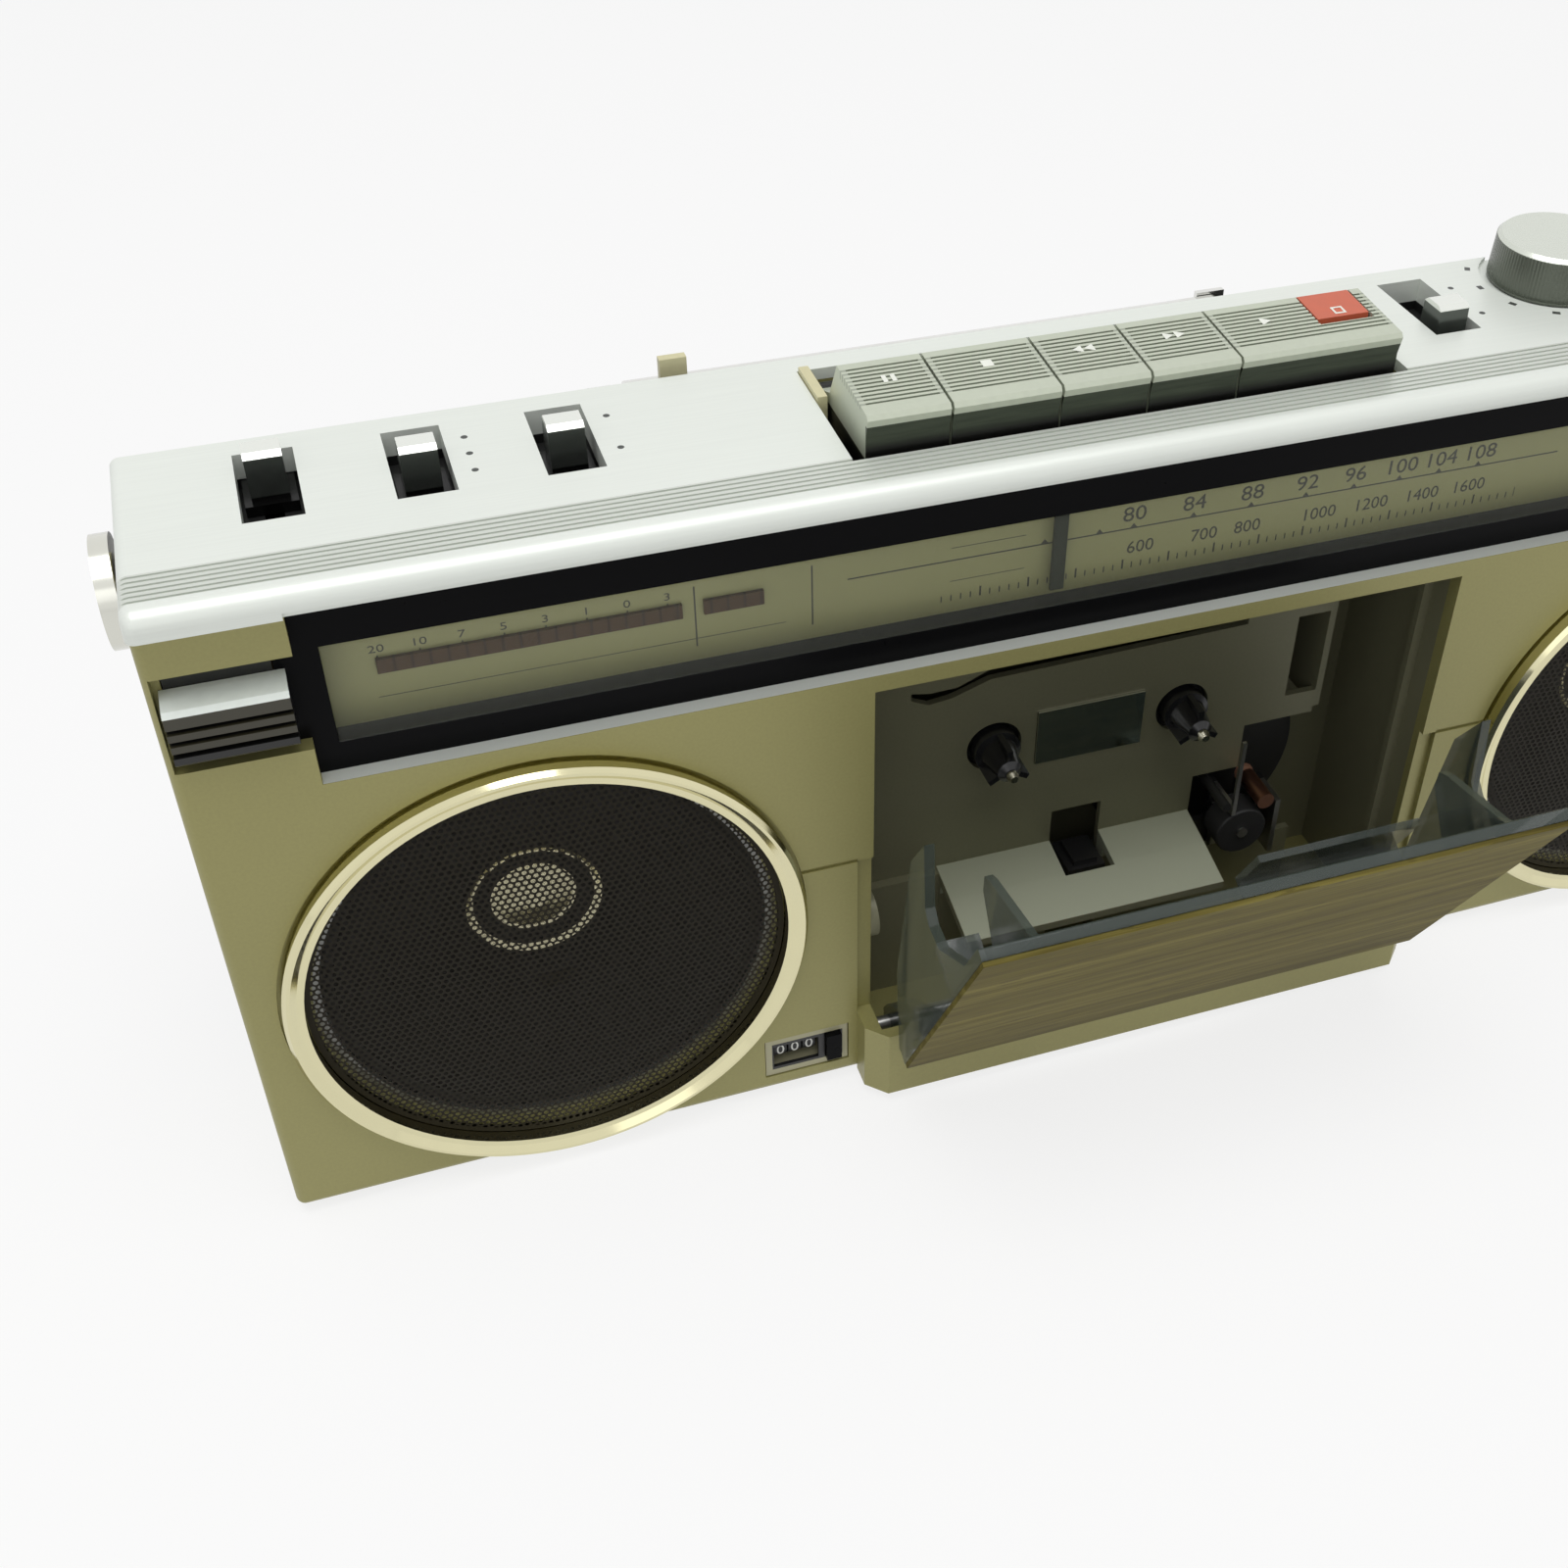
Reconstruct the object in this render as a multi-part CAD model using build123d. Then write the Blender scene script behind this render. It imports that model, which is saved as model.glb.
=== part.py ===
from build123d import *
import math
import os

os.makedirs("parts", exist_ok=True)

# Radio cassette player in millimetres. +X is to the viewer's right, +Y runs to
# the back, +Z is up. The cassette door is modelled open, as it stands at rest.

# Case
CASE_W = 361.0
PANEL_Y = -40.0
SEAM_Y = 4.0
BACK_Y = 41.0
FOOT_H = 2.5
CASE_TOP = 145.0
TOP_Z = CASE_TOP + 2.2
FRONT_T = 3.2
WALL = 2.5
EDGE_R = 1.8
HALF_W = CASE_W / 2
IN_W = HALF_W - WALL
FRONT_IN = PANEL_Y + FRONT_T
FLOOR = FOOT_H + WALL
FIT = 0.1
GAP = 0.3

# Overhanging lip and grooves along the front of the top
LIP_Y = -44.5
LIP_LOW = CASE_TOP - 2.7
LIP_R = 3.0
RIB_FROM = -33.4
RIB_PITCH = 1.36
RIB_COUNT = 6

# Dial opening, its frame, window and scale plate
DIAL_W = CASE_W - 45.6
DIAL_LOW = CASE_TOP - 38.8
DIAL_HIGH = CASE_TOP - 4.3
WIN_W = DIAL_W - 8.0
WIN_LOW = DIAL_LOW + 5.8
WIN_HIGH = DIAL_HIGH - 9.5
BEZEL_T = 2.0
SCALE_Y = -31.0
SCALE_T = 1.0
POINTER_X = -23.8

# Microphone openings at both ends of the dial
MIC_OUT = HALF_W - 1.1
MIC_IN = DIAL_W / 2
MIC_LOW = CASE_TOP - 31.2
MIC_HIGH = CASE_TOP - 12.5

# Cassette opening and the sill in front of it
WELL_W = 122.4
WELL_TOP = DIAL_LOW - 3.6
SILL_Y = -49.0
SILL_T = 2.5
SILL_SIDE = 3.2
SILL_TOP = 20.0
WELL_HALF = WELL_W / 2
SILL_HALF = WELL_HALF + SILL_SIDE

# Speakers: the ring's seat fills the panel between the sill and the side
RING_SEAT = (HALF_W - SILL_HALF - 16.5) / 2
RING_R = RING_SEAT - 0.6
RING_IN = RING_R - 3.9
HOLE_R = RING_IN - 1.7
SEAT_DEEP = 1.0
SPK_X = HALF_W - 6.1 - RING_SEAT
SPK_Z = RING_SEAT + 3.0

# Cassette deck
PLATE_Y = -20.0
PLATE_T = 1.5
PLATE_RIGHT = 46.5
WELL_BACK = -5.4
REEL_X = -7.15
REEL_SPAN = 42.5
REEL_Z = 66.5
REEL_HOLE = 6.0
CAPSTAN_X = 23.6
CAPSTAN_Z = 43.0
MOTOR_X = -44.0
MOTOR_Z = 36.0

# Cassette door, drawn shut and then swung open about its shaft
DOOR_AXIS_Y = -36.0
DOOR_AXIS_Z = 10.0
DOOR_OPEN = 29.0
DOOR_HALF = 59.0
DOOR_LOW = 25.3
DOOR_HIGH = WELL_TOP - 3.8
DOOR_FACE = -49.7
WOOD_T = 1.0
DOOR_T = 2.4
CHEEK_T = 2.0
SHELF_L = 19.4
ARM_X = 50.0
ARM_T = 6.0
SHAFT_R = 1.5
RUN = 0.05

# Piano keys
BAY_L = -63.3
BAY_R = 43.2
BAY_FRONT = -33.7
BAY_BACK = -1.0
KEY_EDGES = [-61.0, -45.6, -25.5, -8.8, 8.6, 40.9]
KEY_GAP = 0.5
KEY_AXIS_Y = -3.8
KEY_AXIS_Z = CASE_TOP - 2.0
KEY_ROD_R = 1.2
REC_L = 27.6
REC_R = 38.6
REC_FRONT = -26.5
KEY_RIBS = 10

# Slide switches in the top: centre of each opening in X and knob offset in Y
SLOT_W = 9.8
SLOT_L = 22.0
SLOT_MID = -12.0
SLOT_FLOOR = CASE_TOP - 4.2
POCKET_T = 1.2
KNOB_L = 9.0
SWITCHES = {
    "switch_meter": (-HALF_W + 24.3, 5.6),
    "switch_mode": (-HALF_W + 48.5, 0.0),
    "switch_source": (-HALF_W + 72.9, 0.0),
    "switch_band": (60.4, -5.6),
}

# Round knobs
VOL_X = 90.8
VOL_Y = -7.9
VOL_R = 12.4
VOL_H = 8.6
TUNE_Y = -22.0
TUNE_Z = CASE_TOP - 49.0
TUNE_R = 11.0

# Carrying handle
PIVOT_Y = -1.8
PIVOT_Z = CASE_TOP - 19.4
PIVOT_R = 3.0
BOSS_R = 6.5
BOSS_T = 2.6
DISC_R = 10.0
ARM_BAR_T = 3.2
HANDLE_L = 72.0
GRIP_R = 6.5
GRIP_REST = 0.4
HANDLE_DOWN = math.degrees(math.acos((BACK_Y + GRIP_REST + GRIP_R - PIVOT_Y) / HANDLE_L))

# Telescopic antenna behind the top's rear edge
DECK_REAR_Z = CASE_TOP - 11.0
ANT_X = 28.0
ANT_Y = 13.0
ANT_Z = DECK_REAR_Z + 5.2
ANT_R = 3.2
ANT_L = 108.0

# Tape counter
COUNT_L = -84.5
COUNT_R = -66.3
COUNT_LOW = 6.4
COUNT_HIGH = 17.2

# Battery bay in the rear cabinet
BAT_HALF = 80.0
BAT_LOW = 8.0
BAT_HIGH = 62.0
BAT_Y = 11.0
LID_T = 2.3


# The drawing has its zero under the cassette opening. The finished parts are
# moved along Y so that the origin is under the middle of the whole set, from
# the open door's top edge to the back of the folded grip.
lean = math.radians(DOOR_OPEN)
front_end = (DOOR_AXIS_Y + (DOOR_FACE - DOOR_AXIS_Y) * math.cos(lean)
             - (DOOR_HIGH - 0.8 - DOOR_AXIS_Z) * math.sin(lean))
back_end = PIVOT_Y + HANDLE_L * math.cos(math.radians(HANDLE_DOWN)) + GRIP_R
MID_Y = (front_end + back_end) / 2


def box(x0, x1, y0, y1, z0, z1):
    size = Box(x1 - x0, y1 - y0, z1 - z0)
    return Pos((x0 + x1) / 2, (y0 + y1) / 2, (z0 + z1) / 2) * size


def rod_x(y, z, r, x0, x1):
    return Pos((x0 + x1) / 2, y, z) * Rot(0, 90, 0) * Cylinder(r, x1 - x0)


def rod_y(x, z, r, y0, y1):
    return Pos(x, (y0 + y1) / 2, z) * Rot(90, 0, 0) * Cylinder(r, y1 - y0)


def rod_z(x, y, r, z0, z1):
    return Pos(x, y, (z0 + z1) / 2) * Cylinder(r, z1 - z0)


def slab_x(points, x0, x1):
    """Closed outline in (y, z), pushed along X from x0 to x1."""
    face = Plane.YZ.offset(x0) * make_face(Polyline(*points, close=True))
    return extrude(face, amount=x1 - x0)


def slab_y(points, y0, y1):
    """Closed outline in (x, z), pushed along Y from y0 to y1."""
    flat = make_face(Polyline(*[(x, -z) for x, z in points], close=True))
    return Pos(0, y0, 0) * Rot(-90, 0, 0) * extrude(flat, amount=y1 - y0)


def slab_z(points, z0, z1):
    """Closed outline in (x, y), pushed along Z from z0 to z1."""
    return Pos(0, 0, z0) * extrude(make_face(Polyline(*points, close=True)), amount=z1 - z0)


def turned_y(points, x, z):
    """Outline of (radius, y) pairs, turned about the line along Y at x, z."""
    face = make_face(Polyline(*[(r, y) for r, y in points], close=True))
    solid = revolve(face, axis=Axis.Y)
    return Pos(x, 0, z) * solid


def turned_z(points, x, y):
    """Outline of (radius, z) pairs, turned about the vertical line at x, y."""
    face = Plane.XZ * make_face(Polyline(*points, close=True))
    return Pos(x, y, 0) * revolve(face, axis=Axis.Z)


def turned_x(points, y, z):
    """Outline of (radius, x) pairs, turned about the line along X at y, z."""
    face = make_face(Polyline(*[(x, r) for r, x in points], close=True))
    return Pos(0, y, z) * revolve(face, axis=Axis.X)


def swing(shape, y, z, degrees):
    """Turn a shape about the line along X at y, z."""
    return Pos(0, y, z) * Rot(degrees, 0, 0) * Pos(0, -y, -z) * shape


def save(node, *shapes):
    solids = []
    for shape in shapes:
        solids += [Pos(0, -MID_Y, 0) * solid for solid in shape.solids()]
    if len(solids) == 1:
        export_step(solids[0], "parts/" + node + ".step")
    else:
        export_step(Compound(children=solids), "parts/" + node + ".step")


# Front cabinet: moulded front, sides, top and bottom in one shell that is open
# at the back. The sill under the cassette door and the switch pockets in the
# top are part of the same moulding.
shell = box(-HALF_W, HALF_W, PANEL_Y, SEAM_Y, FOOT_H, CASE_TOP)
shell = fillet(shell.edges().filter_by(Axis.Z).group_by(Axis.Y)[0], EDGE_R)
shell = fillet(shell.edges().filter_by(Axis.Y).group_by(Axis.Z)[0], EDGE_R)
shell -= box(-IN_W, IN_W, FRONT_IN, SEAM_Y, FLOOR, CASE_TOP - 2.4)
shell += box(-SILL_HALF, SILL_HALF, SILL_Y, PANEL_Y, FOOT_H, SILL_TOP)
shell -= slab_z([(-SILL_HALF, SILL_Y), (-SILL_HALF + 4, SILL_Y), (-SILL_HALF, SILL_Y + 4)],
                FOOT_H, SILL_TOP)
shell -= slab_z([(SILL_HALF, SILL_Y), (SILL_HALF - 4, SILL_Y), (SILL_HALF, SILL_Y + 4)],
                FOOT_H, SILL_TOP)
shell -= box(-WELL_HALF, WELL_HALF, SILL_Y + SILL_T, FRONT_IN, FLOOR, WELL_TOP)
for side in (-1, 1):
    a, b = sorted((side * (ARM_X - 0.8), side * (ARM_X + ARM_T + 0.8)))
    shell -= box(a, b, SILL_Y, SILL_Y + SILL_T, 12.5, SILL_TOP)
    a, b = sorted((side * WELL_HALF, side * SILL_HALF))
    shell -= box(a, b, PANEL_Y, PANEL_Y + 1.2, SILL_TOP, 62.5)
    a, b = sorted((side * SILL_HALF, side * 76.0))
    shell -= box(a, b, PANEL_Y, PANEL_Y + 0.6, 62.0, 63.0)
    a, b = sorted((side * MIC_IN, side * MIC_OUT))
    shell -= box(a, b, PANEL_Y, FRONT_IN, MIC_LOW, MIC_HIGH)
    shell -= rod_y(side * SPK_X, SPK_Z, RING_SEAT, PANEL_Y, PANEL_Y + SEAT_DEEP)
    shell -= rod_y(side * SPK_X, SPK_Z, HOLE_R, PANEL_Y, FRONT_IN)
shell -= box(-DIAL_W / 2, DIAL_W / 2, PANEL_Y, FRONT_IN, DIAL_LOW, DIAL_HIGH)
shell -= box(COUNT_L, COUNT_R, PANEL_Y, PANEL_Y + 1.0, COUNT_LOW, COUNT_HIGH)
shell -= box(COUNT_L + 1, COUNT_R - 1, PANEL_Y, FRONT_IN, COUNT_LOW + 0.9, COUNT_HIGH - 0.9)
shell -= box(BAY_L, BAY_R, BAY_FRONT, BAY_BACK, CASE_TOP - 2.4, CASE_TOP)
for middle, _ in SWITCHES.values():
    x0 = middle - SLOT_W / 2
    x1 = middle + SLOT_W / 2
    y0 = SLOT_MID - SLOT_L / 2
    y1 = SLOT_MID + SLOT_L / 2
    shell += box(x0 - POCKET_T, x1 + POCKET_T, y0 - POCKET_T, y1 + POCKET_T,
                 SLOT_FLOOR - POCKET_T, CASE_TOP)
    shell -= box(x0, x1, y0, y1, SLOT_FLOOR, CASE_TOP)
    shell -= box(middle - 1.6, middle + 1.6, y0 + 1.5, y1 - 1.5, SLOT_FLOOR - POCKET_T, SLOT_FLOOR)
shell -= rod_z(VOL_X, VOL_Y, 3.4, CASE_TOP - 2.4, CASE_TOP)
for side in (-1, 1):
    x0, x1 = sorted((side * HALF_W, side * (HALF_W + BOSS_T)))
    shell += rod_x(PIVOT_Y, PIVOT_Z, BOSS_R, x0, x1)
    x0, x1 = sorted((side * (IN_W - 1), side * (HALF_W + BOSS_T)))
    shell -= rod_x(PIVOT_Y, PIVOT_Z, PIVOT_R + RUN, x0, x1)
shell -= rod_x(TUNE_Y, TUNE_Z, 3.4, IN_W - 1, HALF_W)
shell -= rod_x(DOOR_AXIS_Y, DOOR_AXIS_Z, SHAFT_R, -WELL_HALF - 1, WELL_HALF + 1)
save("front_cabinet", shell)

# Top panel: bright plate with the grooved front and the overhanging lip.
top = slab_x([(SEAM_Y, CASE_TOP), (SEAM_Y, TOP_Z), (LIP_Y, TOP_Z), (LIP_Y, LIP_LOW),
              (PANEL_Y, LIP_LOW), (PANEL_Y, CASE_TOP)], -HALF_W, HALF_W)
top = fillet(top.edges().filter_by(Axis.X).group_by(Axis.Z)[-1].sort_by(Axis.Y)[0], LIP_R)
top = fillet(top.edges().filter_by(Axis.Y).group_by(Axis.Z)[-1], EDGE_R)
for i in range(RIB_COUNT):
    y = RIB_FROM - i * RIB_PITCH
    top -= box(-HALF_W, HALF_W, y - 0.25, y + 0.25, TOP_Z - 0.4, TOP_Z + 1)
for middle, _ in SWITCHES.values():
    top -= box(middle - SLOT_W / 2, middle + SLOT_W / 2, SLOT_MID - SLOT_L / 2,
               SLOT_MID + SLOT_L / 2, CASE_TOP, TOP_Z)
top -= box(BAY_L, BAY_R, BAY_FRONT, BAY_BACK, CASE_TOP, TOP_Z)
top -= rod_z(VOL_X, VOL_Y, VOL_R + 1.6, TOP_Z - 0.8, TOP_Z)
top -= rod_z(VOL_X, VOL_Y, 3.4, CASE_TOP, TOP_Z)
top -= box(-DIAL_W / 2, DIAL_W / 2, LIP_Y, LIP_Y + 1.0, LIP_LOW, LIP_LOW + 1.3)
save("top_panel", top)

# Rear cabinet: back half of the case. It steps down behind the top to make
# room for the antenna and carries the battery bay.
outline = [(SEAM_Y, FOOT_H), (BACK_Y, FOOT_H), (BACK_Y, DECK_REAR_Z - 14), (20.0, DECK_REAR_Z),
           (SEAM_Y + WALL, DECK_REAR_Z), (SEAM_Y + WALL, CASE_TOP), (SEAM_Y, CASE_TOP)]
rear = slab_x(outline, -HALF_W, HALF_W)
rear = fillet(rear.edges().filter_by(Axis.X).group_by(Axis.Y)[-1], 3.0)
rear -= slab_x([(SEAM_Y, FLOOR), (BACK_Y - WALL, FLOOR), (BACK_Y - WALL, DECK_REAR_Z - 15.4),
                (19.3, DECK_REAR_Z - WALL), (SEAM_Y, DECK_REAR_Z - WALL)], -IN_W, IN_W)
rear += box(-BAT_HALF - 2, BAT_HALF + 2, BAT_Y - 2, BACK_Y - WALL, FLOOR, BAT_HIGH + 2)
rear -= box(-BAT_HALF, BAT_HALF, BAT_Y, BACK_Y, BAT_LOW, BAT_HIGH)
rear -= box(-BAT_HALF - 1.5, BAT_HALF + 1.5, BACK_Y - LID_T, BACK_Y, BAT_LOW - 1.5, BAT_HIGH + 1.5)
SOCKET_X = -HALF_W + 40.5
SOCKET_Z = 60.0
rear -= box(SOCKET_X - 9, SOCKET_X + 9, BACK_Y - WALL, BACK_Y, SOCKET_Z - 6, SOCKET_Z + 6)
JACKS = [(HALF_W - 70.5 + 14.0 * i, 60.0) for i in range(4)]
for x, z in JACKS:
    rear -= rod_y(x, z, 4.0, BACK_Y - WALL, BACK_Y)
SCREWS = [(side * x, z) for side in (-1, 1)
          for x, z in ((HALF_W - 15.5, 14.0), (HALF_W - 15.5, DECK_REAR_Z - 26), (BAT_HALF + 12, 14.0))]
for x, z in SCREWS:
    rear -= rod_y(x, z, 3.4, BACK_Y - 1.6, BACK_Y)
rear -= rod_z(ANT_X, ANT_Y, 2.0 + RUN, DECK_REAR_Z - WALL, DECK_REAR_Z)
save("rear_cabinet", rear)

# Dial frame behind the opening, with a lower and two end walls that hold the
# scale plate off it.
bezel = box(-DIAL_W / 2 - 3.3, DIAL_W / 2 + 3.3, FRONT_IN, FRONT_IN + BEZEL_T, DIAL_LOW - 1.4,
            DIAL_HIGH + 1.6)
bezel -= box(-WIN_W / 2, WIN_W / 2, FRONT_IN, FRONT_IN + BEZEL_T, WIN_LOW, WIN_HIGH)
back = FRONT_IN + BEZEL_T
SCALE_HALF = WIN_W / 2 + 3.3
SCALE_LOW = WIN_LOW - 3.0
SCALE_HIGH = WIN_HIGH + 1.8
bezel += box(-SCALE_HALF, SCALE_HALF, back, SCALE_Y, SCALE_LOW, SCALE_LOW + 1.5)
for side in (-1, 1):
    a, b = sorted((side * (SCALE_HALF - 1.6), side * SCALE_HALF))
    bezel += box(a, b, back, SCALE_Y, SCALE_LOW + 1.5, SCALE_HIGH)
save("dial_bezel", bezel)

lens = box(-WIN_W / 2 + FIT, WIN_W / 2 - FIT, FRONT_IN - 0.4, FRONT_IN + 1.2,
           WIN_LOW + FIT, WIN_HIGH - FIT)
save("dial_lens", lens)

scale = box(-SCALE_HALF, SCALE_HALF, SCALE_Y, SCALE_Y + SCALE_T, SCALE_LOW, SCALE_HIGH)
save("dial_plate", scale)

meter = box(-145.4, -93.6, SCALE_Y - 0.8, SCALE_Y, SCALE_HIGH - 12.7, SCALE_HIGH - 9.9)
lamp = box(-89.8, -79.0, SCALE_Y - 0.8, SCALE_Y, SCALE_HIGH - 12.7, SCALE_HIGH - 9.9)
save("level_meter", meter, lamp)

# Pointer: a bar in front of the scale that hooks over the plate's top edge.
pointer = box(POINTER_X - 1.3, POINTER_X + 1.3, -33.6, -32.8, WIN_LOW + 1, SCALE_HIGH + 1.6)
pointer += box(POINTER_X - 2.6, POINTER_X + 2.6, -33.6, -32.8, SCALE_HIGH - 4, SCALE_HIGH + 1.6)
pointer += box(POINTER_X - 2.6, POINTER_X + 2.6, -33.6, -28.6, SCALE_HIGH + GAP, SCALE_HIGH + 1.6)
pointer += box(POINTER_X - 2.6, POINTER_X + 2.6, -29.7, -28.6, SCALE_HIGH - 5, SCALE_HIGH + 1.6)
save("dial_pointer", pointer)

# Microphone grilles: a finned bar on a back plate in each opening.
mics = []
for side in (-1, 1):
    mic = box(-MIC_OUT + 1.6, -MIC_IN - 3.5, FRONT_IN, FRONT_IN + 1.4, MIC_LOW - 1.2, MIC_HIGH + 1.3)
    low = MIC_LOW + 3.4
    high = MIC_HIGH - 4.1
    mic += slab_x([(FRONT_IN, low), (FRONT_IN, high), (-42.2, high - 0.6), (-43.0, high - 1.4),
                   (-43.0, low + 0.6), (-42.4, low)], -MIC_OUT + 0.8, -MIC_IN - 1.7)
    for i in range(3):
        z = low + 2.4 + 2.3 * i
        mic -= box(-MIC_OUT, -MIC_IN, -43.0, -40.6, z - 0.5, z + 0.5)
    mics.append(mic if side < 0 else mirror(mic, about=Plane.YZ))
save("mic_grilles", *mics)

# Speakers: chrome ring, domed mesh, pressed frame with magnet, and paper cone.
size = RING_SEAT / 49.8
for side, name in ((-1, "left"), (1, "right")):
    x = side * SPK_X
    floor = PANEL_Y + SEAT_DEEP
    ring = turned_y([(RING_IN, floor), (RING_R, floor), (RING_R, -42.6), (RING_R - 0.7, -43.5),
                     (RING_R - 1.3, -43.5), (RING_R - 2.6, -42.4), (RING_IN, -42.4)], x, SPK_Z)
    save("speaker_ring_" + name, ring)
    rim = RING_IN - 0.15
    mesh = turned_y([(0, -41.3), (30 * size, -40.8), (rim, -39.8), (rim, floor), (0, -40.5)],
                    x, SPK_Z)
    save("speaker_grille_" + name, mesh)
    frame = turned_y([(HOLE_R - 1.4, FRONT_IN), (HOLE_R + 2.4, FRONT_IN), (HOLE_R + 2.4, -34.2),
                      (HOLE_R - 0.6, -34.2), (24.5 * size, -12.0), (24.5 * size, 0.5), (0, 0.5),
                      (0, -9.0), (9.0 * size, -9.0), (9.0 * size, -12.0), (21.8 * size, -12.0),
                      (HOLE_R - 3.2, -34.8), (HOLE_R - 1.4, -34.8)], x, SPK_Z)
    save("speaker_frame_" + name, frame)
    cone = turned_y([(HOLE_R - 1.6, -35.4), (HOLE_R - 1.6, -34.8), (HOLE_R - 4.0, -34.8),
                     (12.9 * size, -19.4), (8.6 * size, -17.6), (8.6 * size, -12.3),
                     (7.9 * size, -12.3), (7.9 * size, -19.0), (0, -21.4), (0, -22.1),
                     (7.6 * size, -19.8), (12.4 * size, -20.6), (HOLE_R - 4.0, -35.4)], x, SPK_Z)
    save("speaker_cone_" + name, cone)

# Cassette well: side walls, ceiling and the sloping ledge that a cassette
# stands on, moulded as one liner behind the opening.
w = WELL_HALF
liner = box(-w - 2, w + 2, FRONT_IN, WELL_BACK + 1.4, FLOOR, WELL_TOP + 2)
liner -= box(-w, w, FRONT_IN, WELL_BACK, FLOOR, WELL_TOP)
liner += box(PLATE_RIGHT, PLATE_RIGHT + 1.5, PLATE_Y, WELL_BACK, 59.0, WELL_TOP)
liner += box(w - 2.0, w, -32.0, -30.4, 24.0, WELL_TOP)
liner -= rod_y(MOTOR_X, MOTOR_Z, 3.0, WELL_BACK, WELL_BACK + 1.4)
liner -= rod_x(DOOR_AXIS_Y, DOOR_AXIS_Z, SHAFT_R, -w - 1, w + 1)
ledge = slab_x([(PLATE_Y, 36.6), (-29.0, 34.7), (-39.5, 32.0), (-39.5, 30.2), (-29.0, 32.6),
                (-23.0, 33.6), (-22.0, FLOOR), (PLATE_Y, FLOOR)], -40.2, 19.1)
ledge -= box(-14.0, -2.5, -29.6, PLATE_Y, FLOOR, 40.0)
liner += box(-w, -40.2, -22.0, PLATE_Y, FLOOR, 36.0)
liner += ledge
liner += rod_x(-34.0, 42.0, 5.0, -w, -w + 1.9)
save("cassette_well", liner)

# Deck plate: the satin back wall of the well with its openings.
plate = box(-w, PLATE_RIGHT, PLATE_Y, PLATE_Y + PLATE_T, FLOOR, WELL_TOP)
for x in (REEL_X - REEL_SPAN / 2, REEL_X + REEL_SPAN / 2):
    plate -= rod_y(x, REEL_Z, REEL_HOLE, PLATE_Y, PLATE_Y + PLATE_T)
plate -= box(-14.0, -2.5, PLATE_Y, PLATE_Y + PLATE_T, FLOOR, 44.8)
plate -= slab_y([(19.3, 24.0), (PLATE_RIGHT, 24.0), (PLATE_RIGHT, 57.5), (30.2, 57.5),
                 (30.2, 46.0), (19.3, 46.0)], PLATE_Y, PLATE_Y + PLATE_T)
plate -= box(39.0, PLATE_RIGHT, PLATE_Y, PLATE_Y + PLATE_T, 63.5, 84.2)
plate -= slab_y([(-46.8, 84.2), (-46.8, 82.4), (-43.0, 80.6), (-38.0, 81.2), (-30.0, 84.0),
                 (27.0, 85.0), (27.0, 86.6), (-30.0, 86.6), (-37.0, 83.6), (-43.0, 83.4)],
                PLATE_Y, PLATE_Y + PLATE_T)
plate -= box(-19.2, 4.9, PLATE_Y, PLATE_Y + 0.9, 59.6, 73.2)
save("deck_plate", plate)

mirror_plate = box(-19.1, 4.8, PLATE_Y - 0.5, PLATE_Y + 0.9, 59.7, 73.1)
save("deck_mirror", mirror_plate)

# Reel spindles: winged cone in front of the plate, reel table behind it.
for offset, name in ((-1, "supply_spindle"), (1, "takeup_spindle")):
    x = REEL_X + offset * REEL_SPAN / 2
    reel = turned_y([(0, -31.4), (0.8, -31.4), (1.3, -30.4), (1.3, -29.6), (2.6, -28.6),
                     (3.9, -22.6), (5.0, -22.2), (5.0, -18.3), (13.0, -18.3), (13.0, -15.0),
                     (4.0, -15.0), (4.0, -12.6), (0, -12.6)], x, REEL_Z)
    for i in range(3):
        wing = box(-0.6, 0.6, -28.4, -22.4, 2.0, 4.9)
        reel += Pos(x, 0, REEL_Z) * Rot(0, 120 * i, 0) * wing
    save(name, reel)

# Flywheel with the capstan shaft that comes out beside the pinch roller.
wheel = turned_y([(0, -28.9), (1.1, -28.9), (1.1, -12.2), (5.0, -12.2), (5.0, -10.8),
                  (24.0, -10.8), (24.0, -7.6), (5.0, -7.6), (3.0, -5.6), (0, -5.6)],
                 CAPSTAN_X, CAPSTAN_Z)
save("flywheel", wheel)

# Motor behind the liner, its pulley and the belt to the flywheel.
motor = turned_y([(0, -10.8), (1.0, -10.8), (1.0, -4.0), (15.0, -4.0), (15.0, 8.6), (0, 8.6)],
                 MOTOR_X, MOTOR_Z)
save("deck_motor", motor)
pulley = turned_y([(1.0 + RUN, -10.6), (4.5, -10.6), (4.5, -7.4), (1.0 + RUN, -7.4)],
                  MOTOR_X, MOTOR_Z)
save("motor_pulley", pulley)


def belt_loop(extra):
    r1 = 4.5 + extra
    r2 = 24.0 + extra
    dx = CAPSTAN_X - MOTOR_X
    dz = CAPSTAN_Z - MOTOR_Z
    span = math.hypot(dx, dz)
    lean = math.atan2(dz, dx)
    wrap = math.acos((r1 - r2) / span)
    corners = []
    for sign in (1, -1):
        a = lean + sign * wrap
        pair = [(MOTOR_X + r1 * math.cos(a), MOTOR_Z + r1 * math.sin(a)),
                (CAPSTAN_X + r2 * math.cos(a), CAPSTAN_Z + r2 * math.sin(a))]
        corners += pair if sign > 0 else pair[::-1]
    loop = slab_y(corners, -10.2, -8.4)
    loop += rod_y(MOTOR_X, MOTOR_Z, r1, -10.2, -8.4)
    loop += rod_y(CAPSTAN_X, CAPSTAN_Z, r2, -10.2, -8.4)
    return loop


save("drive_belt", belt_loop(GAP + 0.8) - belt_loop(GAP))

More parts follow.
